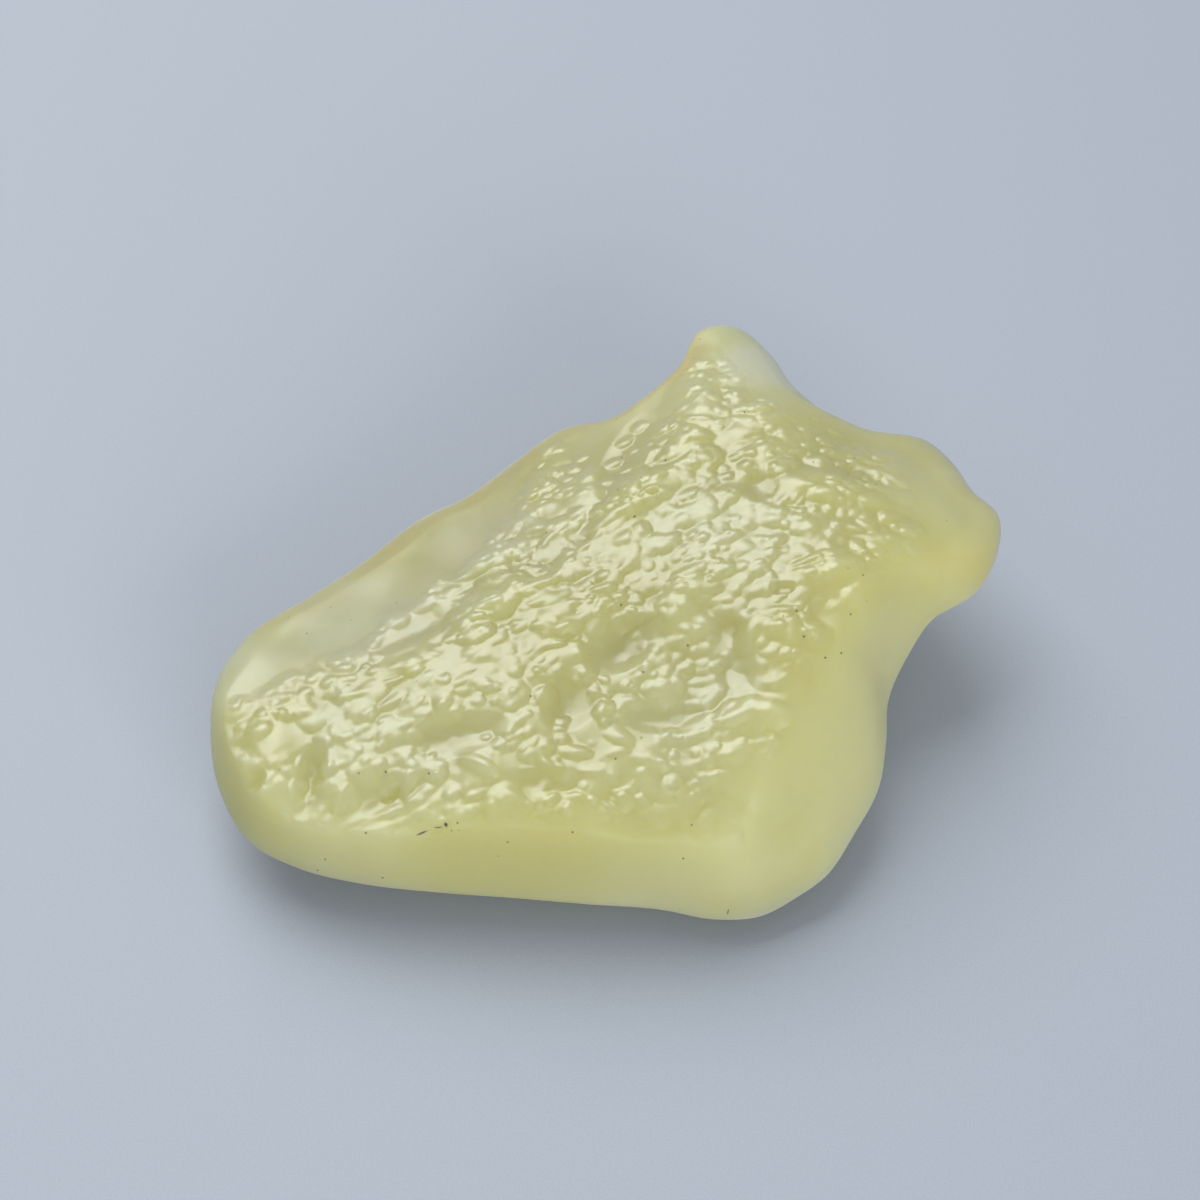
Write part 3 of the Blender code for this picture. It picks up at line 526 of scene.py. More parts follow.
# The finest pebbles: which draw they come from, the range of their half lengths, half widths and heights as
# shares of their pitch, of the half length and of the tallest, the distance from one cluster of tall ones
# to the next and how much lower they are between clusters, the share of them left in calm spots, and the
# height of lump at which they lose half of their own.
PEBBLE_SEED = 77
PEBBLE_REACH = (0.5, 0.85)
PEBBLE_SLIMNESS = (0.8, 1.0)
PEBBLE_RISE = (0.3, 1.0)
PEBBLE_CLUSTER = 5.0
CLUSTER_SWELL = 0.4
CALM_SHARE = 0.2
SHELTER = 0.7

# Soft ripples of the smooth faces and the belly, and which draws they come from.
RIPPLE_LENGTH = 5.0
RIPPLE_SEEDS = {"front": 5, "right": 5, "peak": 4}
BELLY_RIPPLE = 0.05
BELLY_SEED = 8

# How far in from the rim the thin glass is matte and painted brownish-yellow for the light passing through
# it, where along the rim that painted light lies, and where the glass is wind-dulled, matte and painted
# whitish
# for its sheen: x, y, radius, strength. Each spot is at full strength over its core.
THIN_REACH = 2.8
SPOT_CORE = 0.4
# Painted light: brownish-yellow where light passes through the thin rim.
THROUGH_LIGHT_SPOTS = (
    (-17.0, -1.5, 5.0, 0.7),
    (-11.5, 3.0, 6.0, 1.0),
    (-6.0, 7.0, 6.0, 1.0),
    (-0.5, 10.5, 5.0, 0.9),
    (4.0, 13.5, 4.0, 0.9),
    (18.5, 8.0, 5.0, 0.6),
    (21.0, 1.0, 6.0, 0.5),
)
# Painted sheen: whitish, standing for the reflection on the smooth flanks; these places are also matte.
FROST_AND_SHEEN_SPOTS = (
    (9.4, 12.6, 3.2, 0.7),
    (-13.0, -4.0, 6.0, 0.3),
    (-6.5, 1.0, 4.5, 0.3),
    (-18.0, -7.5, 4.0, 0.3),
)

# Dirt in a crack of the front face, and a nick in its lower edge: x, y, z, half length, half width, and
# how steeply each mark climbs, in degrees. Then how deep they go, and the share of a mark that fades.
DIRT_MARKS = (
    (-9.8, -16.4, 6.55, 0.4, 0.07, 19),
    (-8.95, -16.2, 6.85, 0.3, 0.04, 10),
    (-8.55, -16.1, 7.0, 0.14, 0.12, -30),
    (-8.25, -16.1, 6.9, 0.1, 0.06, -40),
    (-7.85, -16.0, 6.95, 0.07, 0.06, 0),
    (6.1, -18.5, 2.25, 0.25, 0.05, 80),
)
DIRT_DEPTH = 1.0
DIRT_FADE = 0.6

# Dark grains: spacing in metres, size as a share of the spacing, the share of that size that is darkest,
# and the share of places that hold one.
SPECK_SPACING = 1.2 * MM
SPECK_SIZE = 0.075
SPECK_CORE = 0.3
SPECK_SHARE = 0.6

# How strongly the glass bends light, how far red, green and blue light spread in its milk compared with
# each other, and how rough its wind polish is.
GLASS_IOR = 1.46
MILK_SPREAD = (1.0, 0.95, 0.45)
POLISH_ROUGHNESS = 0.3

# Clouds in the glass and patches of its sheen, in features per metre, and the band of the noise that each
# passes through. Then the roughness of the skin where it is smoothest and roughest, and what the matte
# places add to it.
CLOUD_SCALE = 110.0
CLOUD_BAND = (0.38, 0.62)
SHEEN_SCALE = 900.0
SHEEN_BAND = (0.35, 0.65)
SMOOTHEST = 0.28
ROUGHEST = 0.34
MATTE_GAIN = 0.25

# The fine grain of the skin and of the floor, and the floor's darkest speckle as a share of its colour.
GRAIN_SCALE = 9000.0
GRAIN_STRENGTH = 0.25
GRAIN_DEPTH = 0.02 * MM
FLOOR_GRAIN_DEPTH = 0.03 * MM
FLOOR_ROUGHNESS = 0.5
FLOOR_SHADE = 0.94

# The lamps' colour, how far each stands from the stone, and the side of the weaker one, in metres. Then
# the colour of the room round them.
LAMP_COLOUR = (0.94, 0.98, 1.0)
WINDOW_DISTANCE = 0.8
FILL_DISTANCE = 0.6
FILL_SIZE = 0.4
ROOM_COLOUR = (0.85, 0.92, 1.0)


def closed_curve(stations, count):
    """Evenly spaced rows on a smooth closed curve through the stations, by their distance in plan."""
    rows = np.array(stations, float)
    following = np.roll(rows, -1, 0)
    step = np.hypot(following[:, 0] - rows[:, 0], following[:, 1] - rows[:, 1])
    knots = np.concatenate([[0.0], np.cumsum(step)])
    ahead = step[:, None]
    behind = np.roll(ahead, 1, 0)
    slope = (following - rows) / ahead
    tangent = (np.roll(slope, 1, 0) * ahead + slope * behind) / (ahead + behind)
    at = np.linspace(0.0, knots[-1], count, endpoint=False)
    span = np.searchsorted(knots, at, side="right") - 1
    u = ((at - knots[span]) / step[span])[:, None]
    leave = tangent[span] * ahead[span]
    arrive = np.roll(tangent, -1, 0)[span] * ahead[span]
    start_share = 2 * u**3 - 3 * u**2 + 1
    leave_share = u**3 - 2 * u**2 + u
    arrive_share = u**3 - u**2
    ends = rows[span] * start_share + following[span] * (1 - start_share)
    return ends + leave * leave_share + arrive * arrive_share


def plate_bend(distance):
    """How a thin plate bends round a point load."""
    return distance**2 * np.log(distance + 1e-6)


def fitted_sheet(spots):
    """A height function that passes smoothly through the spots, as a thin plate would."""
    table = np.array(spots, float)
    posts = table[:, :2]
    count = len(posts)
    apart = np.hypot(posts[:, None, 0] - posts[None, :, 0], posts[:, None, 1] - posts[None, :, 1])
    tilt = np.column_stack([np.ones(count), posts])
    system = np.block([[plate_bend(apart), tilt], [tilt.T, np.zeros((3, 3))]])
    weights = np.linalg.solve(system, np.concatenate([table[:, 2], np.zeros(3)]))

    def height(plan):
        total = weights[count] + plan @ weights[count + 1 :]
        for post, weight in zip(posts, weights):
            away = np.hypot(plan[..., 0] - post[0], plan[..., 1] - post[1])
            total = total + weight * plate_bend(away)
        return total

    return height


def inside(plan, outline):
    """Which plan points lie inside a closed outline."""
    odd = np.zeros(plan.shape[:-1], bool)
    for start, end in zip(outline, outline[1:] + outline[:1]):
        crosses = (start[1] > plan[..., 1]) != (end[1] > plan[..., 1])
        share = (plan[..., 1] - start[1]) / (end[1] - start[1] + 1e-12)
        odd ^= crosses & (plan[..., 0] < start[0] + share * (end[0] - start[0]))
    return odd


def scattered(pitch, random):
    """Places side by side over the pebbled patch, each a little off its spot in a grid."""
    corners = np.array(PEBBLED)
    east, north = np.meshgrid(
        np.arange(corners[:, 0].min(), corners[:, 0].max(), pitch),
        np.arange(corners[:, 1].min(), corners[:, 1].max(), pitch),
    )
    spots = np.column_stack([east.ravel(), north.ravel()])
    spots += random.uniform(-0.5, 0.5, spots.shape) * pitch
    return spots[inside(spots, PEBBLED)]


def cobbles():
    """The small lumps that the solid has too."""
    random = np.random.default_rng(COBBLE_SEED)
    spots = scattered(COBBLE_PITCH, random)
    for x, y, radius in CALM:
        spots = spots[np.hypot(spots[:, 0] - x, spots[:, 1] - y) > radius]
    half = random.uniform(*COBBLE_REACH, len(spots)) * COBBLE_PITCH
    slim = half * random.uniform(*COBBLE_SLIMNESS, len(spots))
    turn = random.normal(*COBBLE_TURN, len(spots))
    height = random.uniform(*COBBLE_HEIGHT, len(spots))
    return np.column_stack([spots, half, slim, turn, height])


def pebbles(sizes):
    """The finest rounded pebbles, which lie between and on the larger lumps."""
    pitch = sizes.pebble_pitch / MM
    tallest = sizes.pebble_height / MM
    random = np.random.default_rng(PEBBLE_SEED)
    spots = scattered(pitch, random)
    for x, y, radius in CALM:
        away = np.hypot(spots[:, 0] - x, spots[:, 1] - y) > radius
        spots = spots[away | (random.uniform(size=len(spots)) < CALM_SHARE)]
    half = random.uniform(*PEBBLE_REACH, len(spots)) * pitch
    slim = half * random.uniform(*PEBBLE_SLIMNESS, len(spots))
    turn = random.uniform(-90.0, 90.0, len(spots))
    height = random.uniform(*PEBBLE_RISE, len(spots)) * tallest
    cluster = np.clip(wave(spots, PEBBLE_CLUSTER, PEBBLE_SEED), -1.0, 1.0)
    height *= 1.0 - CLUSTER_SWELL + CLUSTER_SWELL * cluster
    return np.column_stack([spots, half, slim, turn, height])


def wave(plan, length, seed):
    """A soft random swell between -1 and 1 with about the given distance from crest to crest."""
    random = np.random.default_rng(seed)
    total = np.zeros(plan.shape[:-1])
    for _ in range(WAVES):
        heading = random.uniform(0.0, 2 * np.pi)
        pace = 2 * np.pi / (length * random.uniform(*WAVE_STRETCH))
        travel = plan[..., 0] * np.cos(heading) + plan[..., 1] * np.sin(heading)
        total += np.sin(pace * travel + random.uniform(0.0, 2 * np.pi))
    return total / WAVE_PEAK


def reach_over(plan, x, y, half, slim, turn):
    """How deep each plan point lies in a lump, 1 at its middle and 0 outside, and its lean there."""
    east = plan[:, 0] - x
    north = plan[:, 1] - y
    cosine = np.cos(np.radians(turn))
    sine = np.sin(np.radians(turn))
    along = (east * cosine + north * sine) / half
    across = (north * cosine - east * sine) / slim
    lee_along = LEE[0] * cosine + LEE[1] * sine
    lee_across = LEE[1] * cosine - LEE[0] * sine
    to_edge = np.hypot(half * lee_along, slim * lee_across)
    lean = 1.0 + LEAN * (east * LEE[0] + north * LEE[1]) / to_edge
    return np.clip(1.0 - along**2 - across**2, 0.0, 1.0), lean


def laid_over(plan, lumps, add):
    """A total over every plan point, to which each lump adds within its own reach."""
    order = np.argsort(plan[..., 0], axis=None)
    flat = plan.reshape(-1, 2)[order]
    total = np.zeros(len(flat))
    for x, y, half, slim, turn, height in lumps:
        far = max(half, slim)
        first, last = np.searchsorted(flat[:, 0], (x - far, x + far))
        depth, lean = reach_over(flat[first:last], x, y, half, slim, turn)
        total[first:last] += add(depth, lean, height)
    spread = np.empty(len(flat))
    spread[order] = total
    return spread.reshape(plan.shape[:-1])


def domes(plan, lumps):
    """Height of rounded lumps that run into each other, over each plan point."""
    total = laid_over(plan, lumps, lambda depth, lean, height: (height * lean * depth) ** CREASE)
    return np.maximum((total + FOOT**CREASE) ** (1.0 / CREASE) - FOOT, 0.0)


def swells(plan, folds):
    """Soft ridges and troughs, added up."""
    return laid_over(plan, folds, lambda depth, lean, height: height * depth**FOLD_POWER)


def relief(plan, sizes):
    """Folds, lumps, cobbles and pebbles less pits, above the worn top."""
    bent = plan + BEND * np.dstack([wave(plan, BEND_LENGTH, seed) for seed in BEND_SEEDS])
    large = PEAK_LUMPS + KNOB_SIDE_LUMPS + CENTRE_LUMPS + LEFT_LUMPS + LOBE_LUMPS + FRONT_LUMPS
    lumps = WORN * domes(bent, large)
    small = domes(bent, cobbles())
    raised = (lumps**MERGE + small**MERGE) ** (1.0 / MERGE)
    fine = domes(bent, pebbles(sizes)) / (1.0 + (raised / SHELTER) ** 2)
    uneven = UNEVEN * wave(plan, UNEVEN_LENGTH, UNEVEN_SEED)
    return swells(plan, FOLDS) + uneven + raised + fine - domes(plan, PITS)


def softly_lowest(first, second, softness):
    """The lower of two heights, with a round where they cross."""
    gap = first - second
    return (first + second - np.sqrt(gap**2 + softness**2)) / 2


def top_height(plan, sizes):
    """The pebbled crown, cut down by the smooth faces."""
    level = fitted_sheet(CROWN)(plan) + relief(plan, sizes)
    for name, spots in FACES.items():
        ripple = sizes.ripple / MM * wave(plan, RIPPLE_LENGTH, RIPPLE_SEEDS[name])
        level = softly_lowest(level, fitted_sheet(spots)(plan) + ripple, SOFTNESS[name])
    return level


def edge_rise(inset, reach, squareness):
    """From 0 at the rim to 1 where the rounded edge ends: a quarter of a superellipse."""
    share = np.clip(inset / reach, 0.0, 1.0)
    return (1.0 - (1.0 - share) ** squareness) ** (1.0 / squareness)


def skin(rim, rings, reach, squareness, height):
    """Rings of points from the rim to just short of the heart, on one side of the stone."""
    share = (np.linspace(0.0, 1.0, rings + 1)[:-1] ** CROWDING)[:, None]
    radius = np.hypot(rim[:, 0] - HEART[0], rim[:, 1] - HEART[1])
    plan = np.array(HEART) + (1.0 - share)[..., None] * (rim[:, :2] - HEART)
    rise = edge_rise(share * radius, reach, squareness)
    level = rim[:, 2] + (height(plan) - rim[:, 2]) * rise
    return np.dstack([plan, level])


def whole_stone(rim, sizes):
    """Points and faces of the whole surface, in millimetres, resting on z = 0."""
    belly_sheet = fitted_sheet(BELLY)

    def belly_height(plan):
        return belly_sheet(plan) + BELLY_RIPPLE * wave(plan, UNEVEN_LENGTH, BELLY_SEED)

    above = skin(rim, TOP_RINGS, rim[:, 3], rim[:, 5], lambda plan: top_height(plan, sizes))
    below = skin(rim, BELLY_RINGS, rim[:, 4], rim[:, 6], belly_height)
    below[..., 2] = np.maximum(below[..., 2], 0.0)
    rings = np.concatenate([above[::-1], below[1:]])
    crown = [HEART[0], HEART[1], float(above[-1, :, 2].mean())]
    base = [HEART[0], HEART[1], float(below[-1, :, 2].mean())]
    points = np.vstack([rings.reshape(-1, 3), crown, base])
    count = len(rings) * SECTIONS
    here = np.arange(SECTIONS)
    beside = (here + 1) % SECTIONS
    faces = [(count, i, j) for i, j in zip(here, beside)]
    for ring in range(len(rings) - 1):
        upper = ring * SECTIONS
        lower = upper + SECTIONS
        faces += [(upper + i, lower + i, lower + j, upper + j) for i, j in zip(here, beside)]
    last = count - SECTIONS
    faces += [(count + 1, last + j, last + i) for i, j in zip(here, beside)]
    return points, faces


def thinned(points, faces, kept):
    """The same surface with only as many triangles as its shape needs."""
    dense = bpy.data.meshes.new("dense")
    dense.from_pydata((points * MM).tolist(), [], faces)
    obj = bpy.data.objects.new("dense", dense)
    bpy.context.scene.collection.objects.link(obj)
    thin = obj.modifiers.new("thin out", "DECIMATE")
    thin.ratio = kept / (2 * len(faces))
    thin.use_collapse_triangulate = True
    graph = bpy.context.evaluated_depsgraph_get()
    mesh = bpy.data.meshes.new_from_object(obj.evaluated_get(graph))
    bpy.data.objects.remove(obj)
    bpy.data.meshes.remove(dense)
    return mesh


def mesh_points(mesh):
    flat = np.empty(3 * len(mesh.vertices))
    mesh.vertices.foreach_get("co", flat)
    return flat.reshape(-1, 3)


def settle(mesh):
    """Bring the stone to the place and size of its solid."""
    low, high = (np.array(corner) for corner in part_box(NODE))
    spots = mesh_points(mesh)
    lowest = spots.min(0)
    highest = spots.max(0)
    scale = (high[0] - low[0]) / (highest[0] - lowest[0])
    spots[:, :2] -= (lowest[:2] + highest[:2]) / 2
    spots[:, :2] += (low[:2] + high[:2]) / 2 / scale
    mesh.vertices.foreach_set("co", (spots * scale).ravel())
    mesh.update()


def smooth_step(value, start, end):
    share = np.clip((value - start) / (end - start), 0.0, 1.0)
    return share * share * (3.0 - 2.0 * share)


def near_spots(spots, places):
    """How near each point is to the listed soft spots: x, y, radius, strength."""
    total = np.zeros(len(spots))
    for x, y, radius, strength in places:
        away = np.hypot(spots[:, 0] - x, spots[:, 1] - y)
        total = np.maximum(total, strength * smooth_step(away, radius, SPOT_CORE * radius))
    return total


def rim_distance(spots, rim):
    """For each point, how far inside the widest edge it lies in plan."""
    inset = np.empty(len(spots))
    for start in range(0, len(spots), BATCH):
        part = spots[start : start + BATCH]
        away = np.hypot(part[:, 0, None] - rim[:, 0], part[:, 1, None] - rim[:, 1])
        inset[start : start + BATCH] = away.min(1)
    return inset


def paint(mesh, name, values):
    """Keep a number from 0 to 1 at each point of the mesh, for the material to read."""
    attribute = mesh.attributes.new(name, "FLOAT", "POINT")
    attribute.data.foreach_set("value", np.clip(values, 0.0, 1.0).astype(np.float32))


def stone_mesh(sizes):
    """The whole stone, with where its glass is painted brownish-yellow for the light passing through its
    thin rim, where it is painted whitish for its sheen, and where it is matte.
    """
    rim = closed_curve(list(RIM.values()), SECTIONS)
    mesh = thinned(*whole_stone(rim, sizes), sizes.triangles)
    spots = mesh_points(mesh) / MM
    thin = smooth_step(rim_distance(spots, rim), THIN_REACH, 0.0)
    frost_and_sheen = near_spots(spots, FROST_AND_SHEEN_SPOTS)
    # Painted light and sheen: brownish-yellow where light passes through the thin rim, whitish for the
    # reflection on the dulled flanks.
    paint(mesh, "painted_through_light", thin * near_spots(spots, THROUGH_LIGHT_SPOTS))
    paint(mesh, "frost_and_painted_sheen", frost_and_sheen)
    paint(mesh, "matte", np.maximum(frost_and_sheen, thin))
    settle(mesh)
    mesh.shade_smooth()
    return mesh


class StoneSizes(bpy.types.PropertyGroup):
    """Sizes of the stone's surface."""

    pebble_pitch: bpy.props.FloatProperty(
        name="Pebble pitch",
        description="Distance from one of the finest pebbles to the next",
        default=0.7 * MM,
        unit="LENGTH",
        precision=5,
    )
    pebble_height: bpy.props.FloatProperty(
        name="Pebble height",
        description="Height of the tallest of the finest pebbles",
        default=0.2 * MM,
        unit="LENGTH",
        precision=5,
    )
    ripple: bpy.props.FloatProperty(
        name="Ripple",
        description="Height of the soft ripples on the smooth faces",
        default=0.05 * MM,
        unit="LENGTH",
        precision=5,
    )
    triangles: bpy.props.IntProperty(
        name="Triangles",
        description="Triangles that the stone's surface keeps",
        default=188000,
        min=10000,
    )


class GlassFinish(bpy.types.PropertyGroup):
    """Colours and clearness of the glass."""

    body: bpy.props.FloatVectorProperty(
        name="Body",
        description="Colour of the milky glass",
        default=(0.54, 0.495, 0.19),
        subtype="COLOR",
        min=0.0,
        max=1.0,
    )
    pale: bpy.props.FloatVectorProperty(
        name="Pale",
        description="Colour of its paler, greener clouds",
        default=(0.57, 0.54, 0.255),
        subtype="COLOR",
        min=0.0,
        max=1.0,
    )
    # Painted light: the colour of light passing through the thin edges and the knob.
    painted_through_light: bpy.props.FloatVectorProperty(
        name="Amber",
        description="Colour of the thin edges and the knob",
        default=(0.51, 0.365, 0.10),
        subtype="COLOR",
        min=0.0,
        max=1.0,
    )
    # Painted sheen: the whitish colour that stands for the reflection on the dulled flanks.
    frost_and_painted_sheen: bpy.props.FloatVectorProperty(
        name="Frost",
        description="Colour of the whitish, wind-frosted flanks",
        default=(0.63, 0.60, 0.46),
        subtype="COLOR",
        min=0.0,
        max=1.0,
    )
    dirt: bpy.props.FloatVectorProperty(
        name="Dirt",
        description="Colour of the dirt in the pits",
        default=(0.10, 0.06, 0.03),
        subtype="COLOR",
        min=0.0,
        max=1.0,
    )
    milk: bpy.props.FloatProperty(
        name="Milkiness",
        description="Share of the light that scatters inside",
        default=1.0,
        min=0.0,
        max=1.0,
        subtype="FACTOR",
    )
    milk_depth: bpy.props.FloatProperty(
        name="Scatter depth",
        description="How far light spreads inside the glass",
        default=12.0 * MM,
        unit="LENGTH",
        precision=4,
    )
    clearness: bpy.props.FloatProperty(
        name="Clearness",
        description="Share of the light that passes straight through",
        default=0.3,
        min=0.0,
        max=1.0,
        subtype="FACTOR",
    )
    gloss: bpy.props.FloatProperty(
        name="Gloss",
        description="Strength of the skin's reflection, where 0.5 is that of bare glass",
        default=1.0,
        min=0.0,
        max=1.0,
        subtype="FACTOR",
    )
    polish: bpy.props.FloatProperty(
        name="Polish",
        description="Strength of the thin wind polish on the skin",
        default=0.5,
        min=0.0,
        max=1.0,
        subtype="FACTOR",
    )
    depth_colour: bpy.props.FloatVectorProperty(
        name="Depth colour",
        description="Colour that light takes on its way through",
        default=(0.88, 0.86, 0.45),
        subtype="COLOR",
        min=0.0,
        max=1.0,
    )
    depth_density: bpy.props.FloatProperty(
        name="Depth density",
        description="Absorption per metre of glass",
        default=80.0,
        min=0.0,
    )


class StageSettings(bpy.types.PropertyGroup):
    """Floor, light and camera."""

    floor_size: bpy.props.FloatProperty(
        name="Floor size",
        description="Side of the square floor",
        default=1.2,
        unit="LENGTH",
    )
    floor_colour: bpy.props.FloatVectorProperty(
        name="Floor colour",
        description="Colour of the pale floor",
        default=(0.345, 0.365, 0.41),
        subtype="COLOR",
        min=0.0,
        max=1.0,
    )
    window_turn: bpy.props.FloatProperty(
        name="Window turn",
        description="Direction of the large soft light, clockwise from +Y",
        default=math.radians(-28.0),
        subtype="ANGLE",
    )
    window_rise: bpy.props.FloatProperty(
        name="Window rise",
        description="Angle of the large soft light above the floor",
        default=math.radians(52.0),
        subtype="ANGLE",
    )
    window_size: bpy.props.FloatProperty(
        name="Window size",
        description="Side of the large soft light",
        default=0.7,
        unit="LENGTH",
    )
    window_power: bpy.props.FloatProperty(
        name="Window power",
        description="Strength of the large soft light",
        default=6.0,
        unit="POWER",
    )
    fill_turn: bpy.props.FloatProperty(
        name="Fill turn",
        description="Direction of the weak front light, clockwise from +Y",
        default=math.radians(155.0),
        subtype="ANGLE",
    )
    fill_rise: bpy.props.FloatProperty(
        name="Fill rise",
        description="Angle of the weak front light above the floor",
        default=math.radians(12.0),
        subtype="ANGLE",
    )
    fill_power: bpy.props.FloatProperty(
        name="Fill power",
        description="Strength of the weak light from the front",
        default=4.6,
        unit="POWER",
    )
    ambient: bpy.props.FloatProperty(
        name="Ambient",
        description="Brightness of the room around the stone",
        default=0.5,
        min=0.0,
    )
    view_rise: bpy.props.FloatProperty(
        name="View rise",
        description="Angle of the camera above the floor",
        default=math.radians(50.0),
        subtype="ANGLE",
    )
    view_distance: bpy.props.FloatProperty(
        name="View distance",
        description="Distance from the camera to the point it looks at",
        default=0.165,
        unit="LENGTH",
    )
    view_point: bpy.props.FloatVectorProperty(
        name="View point",
        description="The point on the floor that the camera looks at",
        default=(-0.60 * MM, 4.76 * MM, 0.0),
        subtype="XYZ",
        unit="LENGTH",
    )
    focal_length: bpy.props.FloatProperty(
        name="Focal length",
        description="Focal length of the camera's lens, in millimetres",
        default=85.0,
    )


class NodeTree:
    """Short calls for laying out a material's nodes."""

    def __init__(self, name):
        self.material = bpy.data.materials.new(name)
        self.material.use_nodes = True
        self.nodes = self.material.node_tree.nodes
        self.links = self.material.node_tree.links
        self.shader = self.nodes["Principled BSDF"]
        self.output = self.nodes["Material Output"]

    def add(self, kind, **settings):
        node = self.nodes.new(kind)
        for key, value in settings.items():
            setattr(node, key, value)
        return node

    def feed(self, socket, value):
        """Link an output into a socket, or set the socket to a plain value."""
        if isinstance(value, bpy.types.NodeSocket):
            self.links.new(value, socket)
        else:
            socket.default_value = value

    def place(self):
        return self.add("ShaderNodeTexCoord").outputs["Object"]

    def noise(self, scale, detail=2.0, roughness=0.5):
        node = self.add("ShaderNodeTexNoise")
        self.feed(node.inputs["Vector"], self.place())
        self.feed(node.inputs["Scale"], scale)
        self.feed(node.inputs["Detail"], detail)
        self.feed(node.inputs["Roughness"], roughness)
        return node.outputs["Fac"]

    def stretch(self, value, low, high, start=0.0, end=1.0):
        """Map low..high onto start..end, smoothly and without going past."""
        node = self.add("ShaderNodeMapRange", interpolation_type="SMOOTHSTEP")
        for key, number in (("From Min", low), ("From Max", high), ("To Min", start), ("To Max", end)):
            self.feed(node.inputs[key], number)
        self.feed(node.inputs["Value"], value)
        return node.outputs["Result"]

    def painted(self, name):
        return self.add("ShaderNodeAttribute", attribute_name=name).outputs["Fac"]

    def blend(self, share, first, second):
        node = self.add("ShaderNodeMix", data_type="RGBA")
        self.feed(node.inputs["Factor"], share)
        self.feed(node.inputs["A"], first)
        self.feed(node.inputs["B"], second)
        return node.outputs["Result"]

    def grain(self, height, depth):
        """A fine roughness of the skin, too small for the mesh."""
        bump = self.add("ShaderNodeBump")
        bump.inputs["Strength"].default_value = GRAIN_STRENGTH
        bump.inputs["Distance"].default_value = depth
        self.feed(bump.inputs["Height"], height)
        self.feed(self.shader.inputs["Normal"], bump.outputs["Normal"])

    def combine(self, operation, first, second):
        node = self.add("ShaderNodeMath", operation=operation)
        self.feed(node.inputs[0], first)
        self.feed(node.inputs[1], second)
        return node.outputs["Value"]


def opaque(colour):
    return (*colour, 1.0)


def dirt_marks(tree):
    """The crack's dirt and the nick, as small flat blots at their places."""
    total = 0.0
    for x, y, z, half, slim, climb in DIRT_MARKS:
        blot = tree.add("ShaderNodeMapping", vector_type="TEXTURE")
        tree.feed(blot.inputs["Vector"], tree.place())
        tree.feed(blot.inputs["Location"], (x * MM, y * MM, z * MM))
        tree.feed(blot.inputs["Rotation"], (0.0, -math.radians(climb), 0.0))
        tree.feed(blot.inputs["Scale"], (half * MM, DIRT_DEPTH * MM, slim * MM))
        fade = tree.add("ShaderNodeTexGradient", gradient_type="SPHERICAL")
        tree.feed(fade.inputs["Vector"], blot.outputs["Vector"])
        total = tree.combine("MAXIMUM", total, tree.stretch(fade.outputs["Fac"], 0.0, DIRT_FADE))
    return total


def specks(tree):
    """Tiny dark grains caught in the surface: the middles of a few cells."""
    cells = tree.add("ShaderNodeTexVoronoi")
    tree.feed(cells.inputs["Vector"], tree.place())
    tree.feed(cells.inputs["Scale"], 1.0 / SPECK_SPACING)
    grain = tree.stretch(cells.outputs["Distance"], SPECK_SIZE, SPECK_CORE * SPECK_SIZE)
    lot = tree.add("ShaderNodeSeparateColor")
    tree.feed(lot.inputs["Color"], cells.outputs["Color"])
    chosen = tree.combine("LESS_THAN", lot.outputs["Red"], SPECK_SHARE)
    return tree.combine("MULTIPLY", grain, chosen)


def glass_material(finish):
    """Milky greenish-yellow glass with a silky, wind-dulled skin, painted whitish where it stands for sheen
    and painted brownish-yellow where it stands for light through the thin rim.
    """
    tree = NodeTree("desert glass")
    clouds = tree.stretch(tree.noise(CLOUD_SCALE, 3.0), *CLOUD_BAND)
    colour = tree.blend(clouds, opaque(finish.body), opaque(finish.pale))
    # Painted sheen: whitish over the dulled flanks.
    colour = tree.blend(tree.painted("frost_and_painted_sheen"), colour, opaque(finish.frost_and_painted_sheen))
    # Painted light: brownish-yellow where light passes through the thin edges and the knob.
    colour = tree.blend(tree.painted("painted_through_light"), colour, opaque(finish.painted_through_light))
    dirt = tree.combine("MAXIMUM", dirt_marks(tree), specks(tree))
    colour = tree.blend(dirt, colour, opaque(finish.dirt))
    shader = tree.shader
    tree.feed(shader.inputs["Base Color"], colour)
    sheen = tree.stretch(tree.noise(SHEEN_SCALE, 4.0), *SHEEN_BAND, SMOOTHEST, ROUGHEST)
    matte = tree.combine("MULTIPLY", tree.painted("matte"), MATTE_GAIN)
    tree.feed(shader.inputs["Roughness"], tree.combine("ADD", sheen, matte))
    shader.inputs["IOR"].default_value = GLASS_IOR
    shader.inputs["Specular IOR Level"].default_value = finish.gloss
    shader.inputs["Coat Weight"].default_value = finish.polish
    shader.inputs["Coat Roughness"].default_value = POLISH_ROUGHNESS
    shader.inputs["Transmission Weight"].default_value = finish.clearness
    shader.inputs["Subsurface Weight"].default_value = finish.milk
    shader.inputs["Subsurface Radius"].default_value = MILK_SPREAD
    shader.inputs["Subsurface Scale"].default_value = finish.milk_depth
    tree.grain(tree.noise(GRAIN_SCALE, 3.0, 0.6), GRAIN_DEPTH)
    depth = tree.add("ShaderNodeVolumeAbsorption")
    depth.inputs["Color"].default_value = opaque(finish.depth_colour)
    depth.inputs["Density"].default_value = finish.depth_density
    tree.feed(tree.output.inputs["Volume"], depth.outputs["Volume"])
    return tree.material


